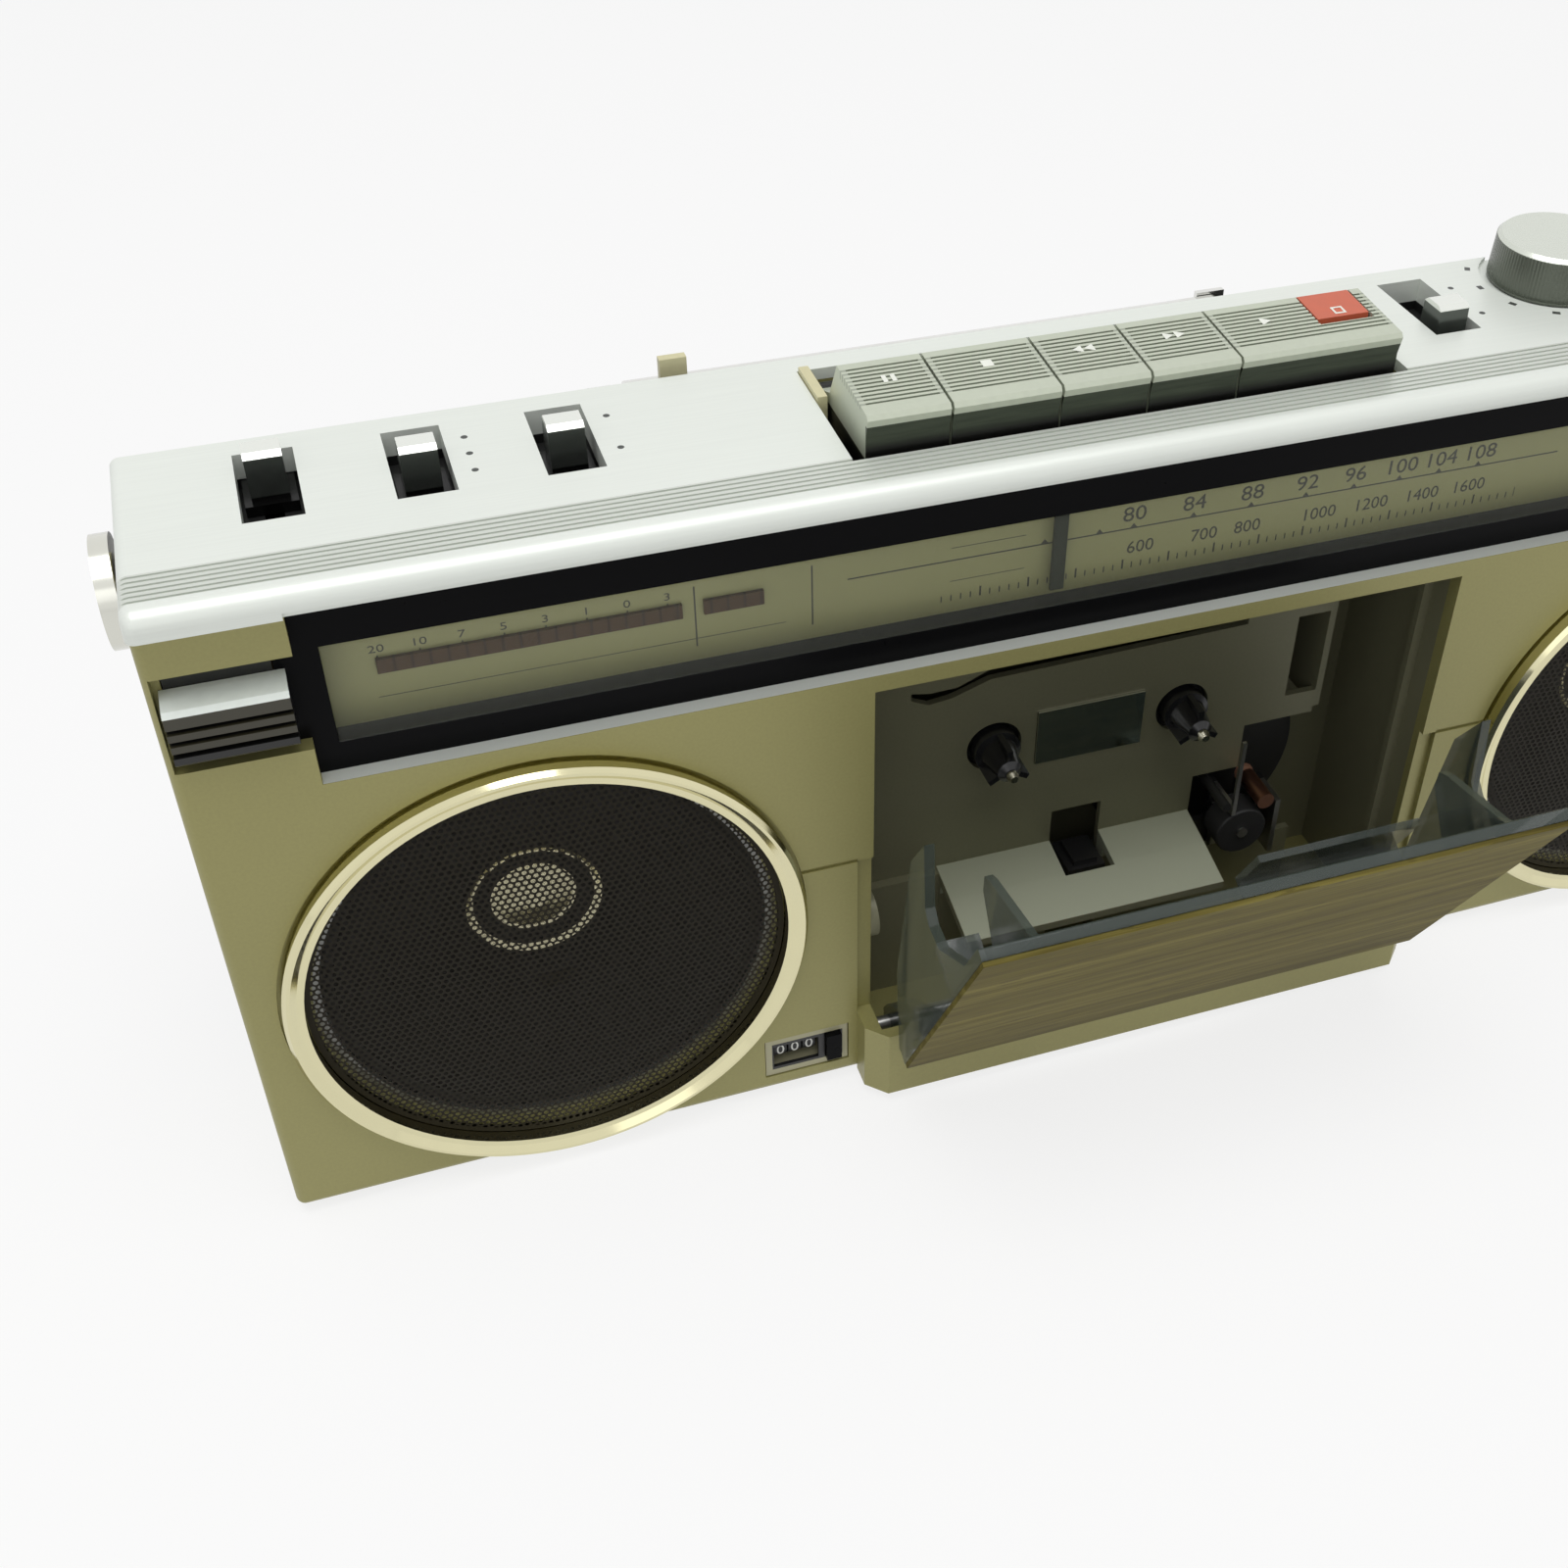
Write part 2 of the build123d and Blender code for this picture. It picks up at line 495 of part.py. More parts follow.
# Head carriage: a sliding plate with the head block and the roller's pin.
# It rises when the play key goes down.
ROLLER_X = CAPSTAN_X + 5.2
ROLLER_Z = CAPSTAN_Z - 9.0
carriage = box(-20.0, 44.0, -18.3, -16.9, 14.0, 31.0)
carriage += box(-12.6, -4.0, -28.0, -18.3, 25.0, 34.0)
carriage += box(-11.0, -5.6, -27.0, -19.5, 34.0, 35.4)
carriage += box(ROLLER_X - 3, ROLLER_X + 3, -21.0, -18.3, 25.0, ROLLER_Z + 2)
carriage += rod_y(ROLLER_X, ROLLER_Z, 1.2, -28.6, -20.0)
carriage += box(37.0, 38.2, -27.0, -18.3, 25.0, 40.0)
carriage += box(37.0, 38.2, -18.4, -16.9, 25.0, 40.0)
carriage += rod_y(33.6, 41.7, 2.0, -28.2, -17.0) + box(31.9, 35.3, -18.3, -16.9, 30.0, 43.0)
carriage += box(25.4, 26.3, -28.4, -18.3, 39.8, 42.2) + box(25.4, 26.3, -28.4, -27.6, 39.8, 60.0)
carriage += box(25.4, 26.3, -18.3, -16.9, 30.0, 42.2)
save("head_carriage", carriage)

roller = turned_y([(1.2 + RUN, -28.0), (5.7, -28.0), (6.0, -27.6), (6.0, -21.8), (5.7, -21.4),
                   (1.2 + RUN, -21.4)], ROLLER_X, ROLLER_Z)
save("pinch_roller", roller)

# Cassette door: smoke plate with cheeks, gussets, a pocket and two arms on the
# shaft. The wood-grain panel is stuck to its front.
inner = DOOR_FACE + WOOD_T + DOOR_T
door = box(-DOOR_HALF, DOOR_HALF, DOOR_FACE + WOOD_T, inner, DOOR_LOW, DOOR_HIGH)
door = fillet(door.edges().filter_by(Axis.X).group_by(Axis.Z)[-1], 0.6)
cheek = [(inner, DOOR_LOW), (-45.2, 24.6), (-33.4, 40.6), (-21.6, 74.9), (-22.7, 86.2),
         (-31.0, 74.4), (-34.2, 73.5), (-39.2, 75.3), (inner, 88.0)]
gusset = [(inner, 70.0), (-31.0, 78.0), (-29.4, 81.4), (-31.0, 83.4), (inner, 96.0)]
arm = [(inner, 26.5), (inner, 34.0), (-42.0, 34.0), (-33.0, 13.0), (-32.6, 9.0), (-34.2, 6.9),
       (-37.8, 6.9), (-39.4, 9.0), (-44.6, 20.0), (-45.8, 24.0)]
for side in (-1, 1):
    a, b = sorted((side * DOOR_HALF, side * (DOOR_HALF - CHEEK_T)))
    door += slab_x(cheek, a, b)
    a, b = sorted((side * 48.4, side * 46.8))
    door += slab_x(gusset, a, b)
    a, b = sorted((side * ARM_X, side * (ARM_X + ARM_T)))
    door += slab_x(arm, a, b)
door += box(SHELF_L, 57.5, inner - 0.1, -29.4, 36.0, 37.6)
door += box(SHELF_L, 57.5, -31.0, -29.4, 36.0, 50.0)
door += box(-57.5, -48.4, inner - 0.1, -36.0, 66.0, 67.6)
door -= rod_x(DOOR_AXIS_Y, DOOR_AXIS_Z, SHAFT_R + RUN, -60, 60)
save("cassette_door", swing(door, DOOR_AXIS_Y, DOOR_AXIS_Z, DOOR_OPEN))
wood = box(-DOOR_HALF + 0.2, DOOR_HALF - 0.2, DOOR_FACE, DOOR_FACE + WOOD_T,
           DOOR_LOW, DOOR_HIGH - 0.8)
save("door_wood_plate", swing(wood, DOOR_AXIS_Y, DOOR_AXIS_Z, DOOR_OPEN))
save("door_shaft", rod_x(DOOR_AXIS_Y, DOOR_AXIS_Z, SHAFT_R, -WELL_HALF - 1, WELL_HALF + 1))

# Piano keys on one rod. The record key sits in a notch of the wide play key.
KEY_LOW = CASE_TOP - 5.5
KEY_SIDE = [(-32.6, KEY_LOW), (-32.6, TOP_Z + 3.3), (-33.4, TOP_Z + 6.7), (-32.8, TOP_Z + 7.5),
            (-16.6, TOP_Z + 8.6), (-12.5, TOP_Z + 1.3), (-4.5, TOP_Z - 1.8), (-4.5, KEY_LOW + 1.1),
            (-28.0, KEY_LOW)]


def piano_key(x0, x1):
    key = slab_x(KEY_SIDE, x0, x1)
    for i in range(KEY_RIBS):
        y = -29.4 + 12.0 / KEY_RIBS * i
        z = TOP_Z + 7.5 + (y + 32.8) * 1.1 / 16.2
        key -= box(x0 + 1.0, x1 - 0.8, y - 0.25, y + 0.25, z - 0.3, z + 2)
    key += rod_x(KEY_AXIS_Y, KEY_AXIS_Z, 2.6, x0, x1)
    key -= rod_x(KEY_AXIS_Y, KEY_AXIS_Z, KEY_ROD_R + RUN, x0, x1)
    return key


KEY_NAMES = ["key_pause", "key_stop", "key_rewind", "key_forward", "key_play"]
for i, name in enumerate(KEY_NAMES):
    x0 = KEY_EDGES[i] + KEY_GAP / 2
    x1 = KEY_EDGES[i + 1] - KEY_GAP / 2
    key = piano_key(x0, x1)
    if name == "key_play":
        key -= box(REC_L, REC_R, REC_FRONT, 0, KEY_LOW - 9, TOP_Z + 13)
    save(name, key)
record = slab_x(KEY_SIDE, REC_L + GAP, REC_R - GAP)
record -= slab_x([(-40, KEY_LOW - 1), (REC_FRONT + 0.6, KEY_LOW - 1), (REC_FRONT + 0.6, KEY_LOW),
                  (REC_FRONT + 1.7, TOP_Z + 8), (REC_FRONT + 1.7, TOP_Z + 13), (-40, TOP_Z + 13)],
                 REC_L, REC_R)
record += rod_x(KEY_AXIS_Y, KEY_AXIS_Z, 2.6, REC_L + GAP, REC_R - GAP)
record -= rod_x(KEY_AXIS_Y, KEY_AXIS_Z, KEY_ROD_R + RUN, REC_L, REC_R)
save("key_record", record)

frame = box(BAY_L + 0.2, -61.3, -13.0, -1.3, CASE_TOP - 6.5, TOP_Z + 1)
frame += box(41.2, BAY_R - 0.2, -13.0, -1.3, CASE_TOP - 6.5, TOP_Z - 0.4)
frame += rod_x(KEY_AXIS_Y, KEY_AXIS_Z, KEY_ROD_R, BAY_L + 0.4, BAY_R - 0.4)
save("key_frame", frame)

# Slide switch knobs, each a cap in its pocket with a stem through the floor.
for name, (middle, offset) in SWITCHES.items():
    y = SLOT_MID + offset
    cap = box(middle - 4.3, middle + 4.3, y - KNOB_L / 2, y + KNOB_L / 2, SLOT_FLOOR + FIT,
              SLOT_FLOOR + 2.0)
    cap += slab_x([(y - 3.2, SLOT_FLOOR + 1.9), (y + 3.2, SLOT_FLOOR + 1.9), (y + 2.8, TOP_Z + 3.2),
                   (y + 1.8, TOP_Z + 4), (y - 1.8, TOP_Z + 4), (y - 2.8, TOP_Z + 3.2)],
                  middle - 3.1, middle + 3.1)
    cap += box(middle - 1.4, middle + 1.4, y - 2.5, y + 2.5, SLOT_FLOOR - 4, SLOT_FLOOR + FIT)
    save(name, cap)

# Round knobs
knob = turned_z([(0, TOP_Z - 0.6), (VOL_R - 0.3, TOP_Z - 0.6), (VOL_R, TOP_Z),
                 (VOL_R - 0.4, TOP_Z + VOL_H - 0.8), (VOL_R - 1.2, TOP_Z + VOL_H),
                 (0, TOP_Z + VOL_H)], VOL_X, VOL_Y)
knob += rod_z(VOL_X, VOL_Y, 3.3, CASE_TOP - 11, TOP_Z)
save("volume_knob", knob)
tune_end = HALF_W + BOSS_T + GAP + ARM_BAR_T
tuner = turned_x([(0, HALF_W + GAP), (TUNE_R, HALF_W + GAP), (TUNE_R, tune_end - 1),
                  (TUNE_R - 1, tune_end), (0, tune_end)], TUNE_Y, TUNE_Z)
tuner += rod_x(TUNE_Y, TUNE_Z, 3.3, IN_W - 6, HALF_W + 1)
save("tuning_knob", tuner)

# Handle: a flat arm with a round boss at each side and a grip bar between the
# arms, folded down behind the case.
arms = []
for side in (-1, 1):
    a, b = sorted((side * (HALF_W + BOSS_T + GAP), side * (HALF_W + BOSS_T + GAP + ARM_BAR_T)))
    one = rod_x(0, 0, DISC_R, a, b) + box(a, b, 0, HANDLE_L, -4, 4)
    one += rod_x(HANDLE_L, 0, GRIP_R, a, b)
    a2, b2 = sorted((side * (IN_W - 0.6), side * (HALF_W + BOSS_T + GAP)))
    one += rod_x(0, 0, PIVOT_R, a2, b2)
    arms.append(one)
grip_half = HALF_W + BOSS_T + GAP
grip = rod_x(HANDLE_L, 0, GRIP_R, -grip_half, grip_half)


def folded(shape):
    return Pos(0, PIVOT_Y, PIVOT_Z) * Rot(-HANDLE_DOWN, 0, 0) * shape


save("handle_arms", *[folded(one) for one in arms])
save("handle_grip", folded(grip))

# Antenna: swivel with a fork, a tube with a telescoping tip, and the post that holds them.
swivel = rod_z(ANT_X, ANT_Y, 5.0, DECK_REAR_Z + 0.2, DECK_REAR_Z + 1.4)
swivel += rod_z(ANT_X, ANT_Y, 2.0, DECK_REAR_Z - 4.5, DECK_REAR_Z + 0.3)
for side in (-1, 1):
    a, b = sorted((ANT_Y + side * 2.2, ANT_Y + side * 3.4))
    swivel += box(ANT_X - 3, ANT_X + 3, a, b, DECK_REAR_Z + 1.3, ANT_Z + 3.2)
swivel += rod_y(ANT_X, ANT_Z, 1.0, ANT_Y - 3.4, ANT_Y + 3.4)
save("antenna_swivel", swivel)
tube_end = ANT_X - ANT_L - 12
tube = rod_x(ANT_Y, ANT_Z, ANT_R, tube_end, ANT_X - 7)
tube += box(ANT_X - 8, ANT_X, ANT_Y - 2, ANT_Y + 2, ANT_Z - 2.6, ANT_Z + 2.6)
tube += rod_y(ANT_X, ANT_Z, 2.6, ANT_Y - 2, ANT_Y + 2)
tube -= rod_y(ANT_X, ANT_Z, 1.0 + RUN, ANT_Y - 2, ANT_Y + 2)
tube -= rod_x(ANT_Y, ANT_Z, 1.55, tube_end, tube_end + 84)
save("antenna_tube", tube)
tip = rod_x(ANT_Y, ANT_Z, 1.5, tube_end - 3, tube_end + 72)
tip += rod_x(ANT_Y, ANT_Z, 2.8, tube_end - 7, tube_end - 2.4)
save("antenna_tip", tip)
clip = box(-86.5, -81.5, 7.0, 17.5, DECK_REAR_Z, DECK_REAR_Z + 1.7)
clip += box(-86.5, -81.5, 7.0, 8.8, DECK_REAR_Z, DECK_REAR_Z + 15)
save("antenna_clip", clip)

# Tape counter: framed box, number wheels on one axle, reset button.
counter = box(COUNT_L + 0.2, COUNT_R - 0.2, PANEL_Y + 0.3, PANEL_Y + 1.0, COUNT_LOW + 0.2,
              COUNT_HIGH - 0.2)
counter += box(-83.4, -67.4, PANEL_Y + 1.0, -30.0, 7.4, 16.2)
counter -= box(-82.6, -67.9, PANEL_Y + 1.1, -30.8, 8.0, 15.6)
counter -= box(-82.6, -72.8, PANEL_Y, PANEL_Y + 2, 8.8, 14.8)
counter -= box(-71.5, -67.9, PANEL_Y, PANEL_Y + 2, 7.4 + 0.6, 15.6)
save("counter_frame", counter)
wheels = rod_x(-34.8, 11.8, 0.9, -82.4, -72.6)
for i in range(3):
    wheels += rod_x(-34.8, 11.8, 3.3, -82.0 + 3.1 * i, -79.3 + 3.1 * i)
save("counter_wheels", wheels)
save("counter_reset", box(-71.3, -68.1, -41.0, -36.0, 8.2, 15.4))

# Battery lid
lid = box(-BAT_HALF - 1.2, BAT_HALF + 1.2, BACK_Y - LID_T + FIT, BACK_Y, BAT_LOW - 1.2,
          BAT_HIGH + 1.2)
lid -= box(-9, 9, BACK_Y - 1.2, BACK_Y, BAT_HIGH - 6, BAT_HIGH - 2)
save("battery_cover", lid)

# Circuit board over the deck with its larger parts
board = box(-HALF_W + 8.5, HALF_W - 8.5, -27.0, 30.0, WELL_TOP + 2.2, WELL_TOP + 3.8)
top_of_board = WELL_TOP + 3.8
for x, y, r, h in [(-HALF_W + 30, 8, 6, 20), (-HALF_W + 50, 12, 5, 16), (-20, 10, 8, 22), (0, 10, 8, 22),
                   (60, 14, 5, 14), (110, -8, 6, 12), (124, -8, 6, 12), (138, -8, 6, 12)]:
    board += rod_z(x, y, r, top_of_board, top_of_board + h)
board += box(-100.0, -50.0, 16.0, 22.0, top_of_board, top_of_board + 20)
board += box(80.0, 104.0, 4.0, 26.0, top_of_board, top_of_board + 18)
save("circuit_board", board)

# Mains transformer, inlet, jack sockets, screws and feet
core = box(-HALF_W + 16.5, -HALF_W + 68.5, 8.0, 34.0, FLOOR, 40.0)
core += box(-HALF_W + 28.5, -HALF_W + 56.5, 4.5, 37.5, FLOOR + 6, 34.0)
save("power_transformer", core)
inlet = box(SOCKET_X - 8.9, SOCKET_X + 8.9, 29.0, BACK_Y, SOCKET_Z - 5.9, SOCKET_Z + 5.9)
inlet -= box(SOCKET_X - 7.2, SOCKET_X + 7.2, 31.5, BACK_Y, SOCKET_Z - 4.2, SOCKET_Z + 4.2)
for side in (-1, 1):
    inlet += rod_y(SOCKET_X + side * 3.6, SOCKET_Z, 1.2, 31.0, 39.5)
save("ac_inlet", inlet)
jacks = []
for x, z in JACKS:
    jack = rod_y(x, z, 3.9, 27.0, BACK_Y + 0.6) - rod_y(x, z, 1.8, 29.0, BACK_Y + 0.6)
    jacks.append(jack)
save("jack_sockets", *jacks)
heads = []
for x, z in SCREWS:
    head = rod_y(x, z, 3.2, BACK_Y - 1.6, BACK_Y - 0.3)
    head -= box(x - 2, x + 2, BACK_Y - 0.9, BACK_Y, z - 0.4, z + 0.4)
    head -= box(x - 0.4, x + 0.4, BACK_Y - 0.9, BACK_Y, z - 2, z + 2)
    heads.append(head)
save("case_screws", *heads)
save("feet", *[rod_z(x, y, 7.0, 0, FOOT_H) for x in (-HALF_W + 30.5, HALF_W - 30.5) for y in (-26, 28)])
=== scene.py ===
import math
import bpy
from mathutils import Matrix, Vector


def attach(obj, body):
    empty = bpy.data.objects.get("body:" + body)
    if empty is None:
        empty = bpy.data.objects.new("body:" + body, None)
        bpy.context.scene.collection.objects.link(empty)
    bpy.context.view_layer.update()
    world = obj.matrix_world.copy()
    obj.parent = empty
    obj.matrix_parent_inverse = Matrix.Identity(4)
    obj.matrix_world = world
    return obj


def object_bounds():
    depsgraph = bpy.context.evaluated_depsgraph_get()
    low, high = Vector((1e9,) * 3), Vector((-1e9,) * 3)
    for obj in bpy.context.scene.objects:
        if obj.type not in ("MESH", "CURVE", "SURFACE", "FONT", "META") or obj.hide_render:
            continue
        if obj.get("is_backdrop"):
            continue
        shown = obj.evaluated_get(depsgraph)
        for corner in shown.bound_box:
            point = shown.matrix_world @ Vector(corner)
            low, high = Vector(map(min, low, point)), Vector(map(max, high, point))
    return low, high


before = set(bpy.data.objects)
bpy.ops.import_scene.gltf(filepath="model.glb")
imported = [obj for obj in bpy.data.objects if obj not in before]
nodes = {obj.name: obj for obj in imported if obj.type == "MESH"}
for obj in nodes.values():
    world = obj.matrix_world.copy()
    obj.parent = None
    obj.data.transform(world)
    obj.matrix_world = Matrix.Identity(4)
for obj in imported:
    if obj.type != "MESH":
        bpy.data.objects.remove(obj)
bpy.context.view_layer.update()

scene = bpy.context.scene
bpy.ops.object.select_all(action="DESELECT")

# Camera. It stands where the photographer stood, a little to the left of the
# set and well above it, and the picture's middle is shifted off the lens axis.
PICTURE_SIDE = 1600
FOCAL_LENGTH = 1923.31
LENS_AXIS = (923.73, 796.5)
SENSOR_MM = 36.0
eye = Vector((-0.1495, -0.277237, 0.3092))
right = Vector((0.94308, -0.33202, 0.01887))
down = Vector((-0.20014, -0.61196, -0.76515))
forward = Vector((0.26559, 0.71782, -0.64358))
camera_data = bpy.data.cameras.new("camera")
camera = bpy.data.objects.new("camera", camera_data)
scene.collection.objects.link(camera)
turn = Matrix((right, -down, -forward)).transposed().to_4x4()
camera.matrix_world = Matrix.Translation(eye) @ turn
camera_data.sensor_width = SENSOR_MM
camera_data.lens = FOCAL_LENGTH / PICTURE_SIDE * SENSOR_MM
camera_data.shift_x = (PICTURE_SIDE / 2 - LENS_AXIS[0]) / PICTURE_SIDE
camera_data.shift_y = (LENS_AXIS[1] - PICTURE_SIDE / 2) / PICTURE_SIDE
camera_data.clip_start = 0.01
scene.camera = camera

# Studio light. One broad lamp hangs over the set, so that the top is bright and
# the front stays in soft shade, and a weak one fills in from the front. Each has
# its place, the point it faces, the lengths of its sides and its power in watts.
scene.view_settings.view_transform = "Standard"
LAMPS = {
    "ceiling_light": ((-0.15, -0.22, 1.35), (0.0, 0.0, 0.1), (1.0, 0.8), 9.5),
    "front_fill": ((-0.7, -1.2, 0.8), (0.0, 0.0, 0.07), (0.9, 0.7), 1.2),
}
for lamp_name, (place, aim, size, power) in LAMPS.items():
    lamp_data = bpy.data.lights.new(lamp_name, "AREA")
    lamp_data.shape = "RECTANGLE"
    lamp_data.size, lamp_data.size_y = size
    lamp_data.energy = power
    lamp = bpy.data.objects.new(lamp_name, lamp_data)
    scene.collection.objects.link(lamp)
    lamp.location = place
    lamp.rotation_euler = (Vector(aim) - Vector(place)).to_track_quat("-Z", "Y").to_euler()


# Front cabinet: moulded plastic in champagne silver paint with a fine metal
# flake. The switch pockets in its top have silver walls, and their deep floors are
# painted black as painted shade; the ledge under the dial is painted as bright as
# the top, as painted light where it faces up.
class Reading:
    """A socket of a shader that Python's operators act on."""

    def __init__(self, finish, socket):
        self.finish = finish
        self.socket = socket

    def maths(self, operation, *values):
        return self.finish.node("ShaderNodeMath", {"operation": operation},
                                dict(enumerate(values)))

    def __add__(self, other): return self.maths("ADD", self, other)
    def __radd__(self, other): return self.maths("ADD", other, self)
    def __sub__(self, other): return self.maths("SUBTRACT", self, other)
    def __rsub__(self, other): return self.maths("SUBTRACT", other, self)
    def __mul__(self, other): return self.maths("MULTIPLY", self, other)
    def __rmul__(self, other): return self.maths("MULTIPLY", other, self)
    def __truediv__(self, other): return self.maths("DIVIDE", self, other)
    def __gt__(self, other): return self.maths("GREATER_THAN", self, other)
    def __lt__(self, other): return self.maths("LESS_THAN", self, other)
    def __mod__(self, other): return self.maths("FLOORED_MODULO", self, other)
    def __abs__(self): return self.maths("ABSOLUTE", self)
    def most(self, other): return self.maths("MAXIMUM", self, other)
    def least(self, other): return self.maths("MINIMUM", self, other)
    def round(self): return self.maths("ROUND", self)
    def root(self): return self.maths("SQRT", self)
    def sine(self): return self.maths("SINE", self)
    def angle(self, other): return self.maths("ARCTAN2", self, other)
    def within(self, low, high): return (self > low) * (self < high)


class Finish:
    """One procedural material, read in millimetres of the finished set."""

    def __init__(self, name, colour, rough=0.5, metal=0.0, **fixed):
        self.material = bpy.data.materials.new(name)
        self.material.use_nodes = True
        self.tree = self.material.node_tree
        self.shader = self.tree.nodes["Principled BSDF"]
        self.shader.inputs["Base Color"].default_value = (*colour, 1)
        self.shader.inputs["Roughness"].default_value = rough
        self.shader.inputs["Metallic"].default_value = metal
        for socket, value in fixed.items():
            self.shader.inputs[socket.replace("_", " ")].default_value = value
        place = self.node("ShaderNodeTexCoord", {}, {}, "Object")
        self.place = self.node("ShaderNodeVectorMath", {"operation": "SCALE"},
                               {0: place, "Scale": 1000.0})
        self.x, self.y, self.z = (self.node("ShaderNodeSeparateXYZ", {}, {0: self.place}, i)
                                  for i in range(3))

    def node(self, kind, settings, values, output=0):
        """Add a node with its settings and its sockets' values or links."""
        made = self.tree.nodes.new(kind)
        for name, value in settings.items():
            if name == "stops":
                while len(made.color_ramp.elements) < len(value):
                    made.color_ramp.elements.new(0.5)
                for element, (at, shade) in zip(made.color_ramp.elements, value):
                    element.position = at
                    element.color = (*shade, 1)
            else:
                setattr(made, name, value)
        for name, value in values.items():
            if isinstance(value, Reading):
                self.tree.links.new(value.socket, made.inputs[name])
            else:
                made.inputs[name].default_value = value
        return Reading(self, made.outputs[output])

    def noise(self, per_mm, detail=3.0, stretch=(1, 1, 1)):
        """Noise of a number of cells to the millimetre, drawn out along the small stretches."""
        spread = self.node("ShaderNodeVectorMath", {"operation": "MULTIPLY"},
                           {0: self.place, 1: stretch})
        return self.node("ShaderNodeTexNoise", {},
                         {"Vector": spread, "Scale": per_mm, "Detail": detail})

    def blend(self, share, first, second):
        """A colour between two. Mix has them on sockets 6 and 7, and the result on 2."""
        mix = {0: share}
        for slot, colour in ((6, first), (7, second)):
            mix[slot] = colour if isinstance(colour, Reading) else (*colour, 1)
        return self.node("ShaderNodeMix", {"data_type": "RGBA"}, mix, 2)

    def feed(self, **sockets):
        for name, value in sockets.items():
            self.tree.links.new(value.socket, self.shader.inputs[name.replace("_", " ")])

    def relief(self, height, depth_mm):
        self.feed(Normal=self.node("ShaderNodeBump", {}, {
            "Height": height, "Distance": depth_mm / 1000, "Strength": 1.0}))

    def cover(self, *names):
        for name in names:
            nodes[name].data.materials.clear()
            nodes[name].data.materials.append(self.material)


def grained(name, colour, rough, metal, *names, spread=0.07, per_mm=0.8, depth=0.012,
            cloud=0.05, gloss=0.12, **fixed):
    """A finish with a fine grain over a slow, faint cloud, both in colour and gloss."""
    finish = Finish(name, colour, rough, metal, **fixed)
    fine = finish.noise(per_mm, 4.0)
    slow = finish.noise(0.02, 2.0)
    light = tuple(c * (1 + spread + cloud) for c in colour)
    dark = tuple(c * (1 - spread - cloud) for c in colour)
    share = fine * (spread / (spread + cloud)) + slow * (cloud / (spread + cloud))
    finish.base = finish.blend(share, dark, light)
    finish.feed(Base_Color=finish.base,
                Roughness=fine * gloss + slow * 0.06 + (rough - 0.03 - gloss / 2))
    finish.relief(fine, depth)
    finish.cover(*names)
    return finish


DEPTH_SHIFT = 18.1228
POCKET_MIDDLES = (-156.2, -132.0, -107.6, 60.4)
POCKET_HALF = 5.0
POCKET_DEPTHS = (-23.1, -0.9)
POCKET_LOW = 138.0
POCKET_FLOOR = 142.6
LEDGE_HEIGHTS = (105.9, 106.6)
LEDGE_DEPTHS = (-39.9, -36.0)
LEDGE_HALF = 157.6
CHAMPAGNE = (0.325, 0.302, 0.118)
TOP_SILVER = (0.800, 0.835, 0.780)
POCKET_SHADE = (0.012, 0.012, 0.012)
cabinet = grained("champagne_paint", CHAMPAGNE, 0.42, 0.25, "front_cabinet",
                  per_mm=1.6, spread=0.10)
depth = cabinet.y - DEPTH_SHIFT
in_pocket = abs(cabinet.x - POCKET_MIDDLES[0]) < POCKET_HALF
for middle in POCKET_MIDDLES[1:]:
    in_pocket = in_pocket.most(abs(cabinet.x - middle) < POCKET_HALF)
in_pocket = in_pocket * depth.within(*POCKET_DEPTHS) * (cabinet.z > POCKET_LOW)
# The deep part of each pocket is painted black, as painted shade.
pocket_shade = in_pocket * (cabinet.z < POCKET_FLOOR)
# The ledge under the dial faces up and is painted top silver, as painted light.
ledge = (cabinet.z.within(*LEDGE_HEIGHTS) * depth.within(*LEDGE_DEPTHS)
         * (abs(cabinet.x) < LEDGE_HALF))
bright = ledge.most(in_pocket)
colour = cabinet.blend(bright, cabinet.base, TOP_SILVER)
colour = cabinet.blend(pocket_shade, colour, POCKET_SHADE)
cabinet.feed(Base_Color=colour)

# Top panel: a pale silver plate with a very fine grain along its length, bent
# over the front edge. Small printed dots stand round the volume knob and beside
# the switches.
VOLUME_X, VOLUME_Y = 90.8, -7.9
DOT_RING = (15.6, 16.7)
DOT_STEP = math.radians(30)
DOT_HALF = 0.09
EMPTY_STEP = -3
DOT_RADIUS = 0.6
SWITCH_DOTS = ((-123.6, -6.4), (-123.6, -12.0), (-123.6, -17.6), (68.9, -6.4),
               (68.9, -17.6), (-99.2, -6.4), (-99.2, -17.6))
FLAT_TOP = 146.6
RIBBED_DEPTHS = (-40.6, -32.7)
RIBBED_LOW = 146.0
top = Finish("top_plate", TOP_SILVER, 0.36, 0.15)
lines = top.noise(2.2, 3.0, (0.02, 1, 1))
cloud = top.noise(0.02, 2.0)
colour = top.blend(lines * 0.6 + cloud * 0.4, tuple(c * 0.93 for c in TOP_SILVER),
                   tuple(min(1, c * 1.06) for c in TOP_SILVER))
across = top.x - VOLUME_X
along = top.y - (VOLUME_Y + DEPTH_SHIFT)
round_knob = (across * across + along * along).root()
turned = along.angle(across) / DOT_STEP
dots = ((abs(turned - turned.round()) < DOT_HALF) * round_knob.within(*DOT_RING)
        * (abs(turned.round() - EMPTY_STEP) > 0.5))
for x, y in SWITCH_DOTS:
    dot_x = top.x - x
    dot_y = top.y - (y + DEPTH_SHIFT)
    dots = dots.most((dot_x * dot_x + dot_y * dot_y) < DOT_RADIUS ** 2)
dots = dots * (top.z > FLAT_TOP)
# The ribbed band behind the front edge is painted darker, as painted shade of its grooves.
ribbed = (top.y - DEPTH_SHIFT).within(*RIBBED_DEPTHS) * (top.z > RIBBED_LOW)
colour = top.blend(ribbed * 0.30, colour, (0.30, 0.33, 0.26))
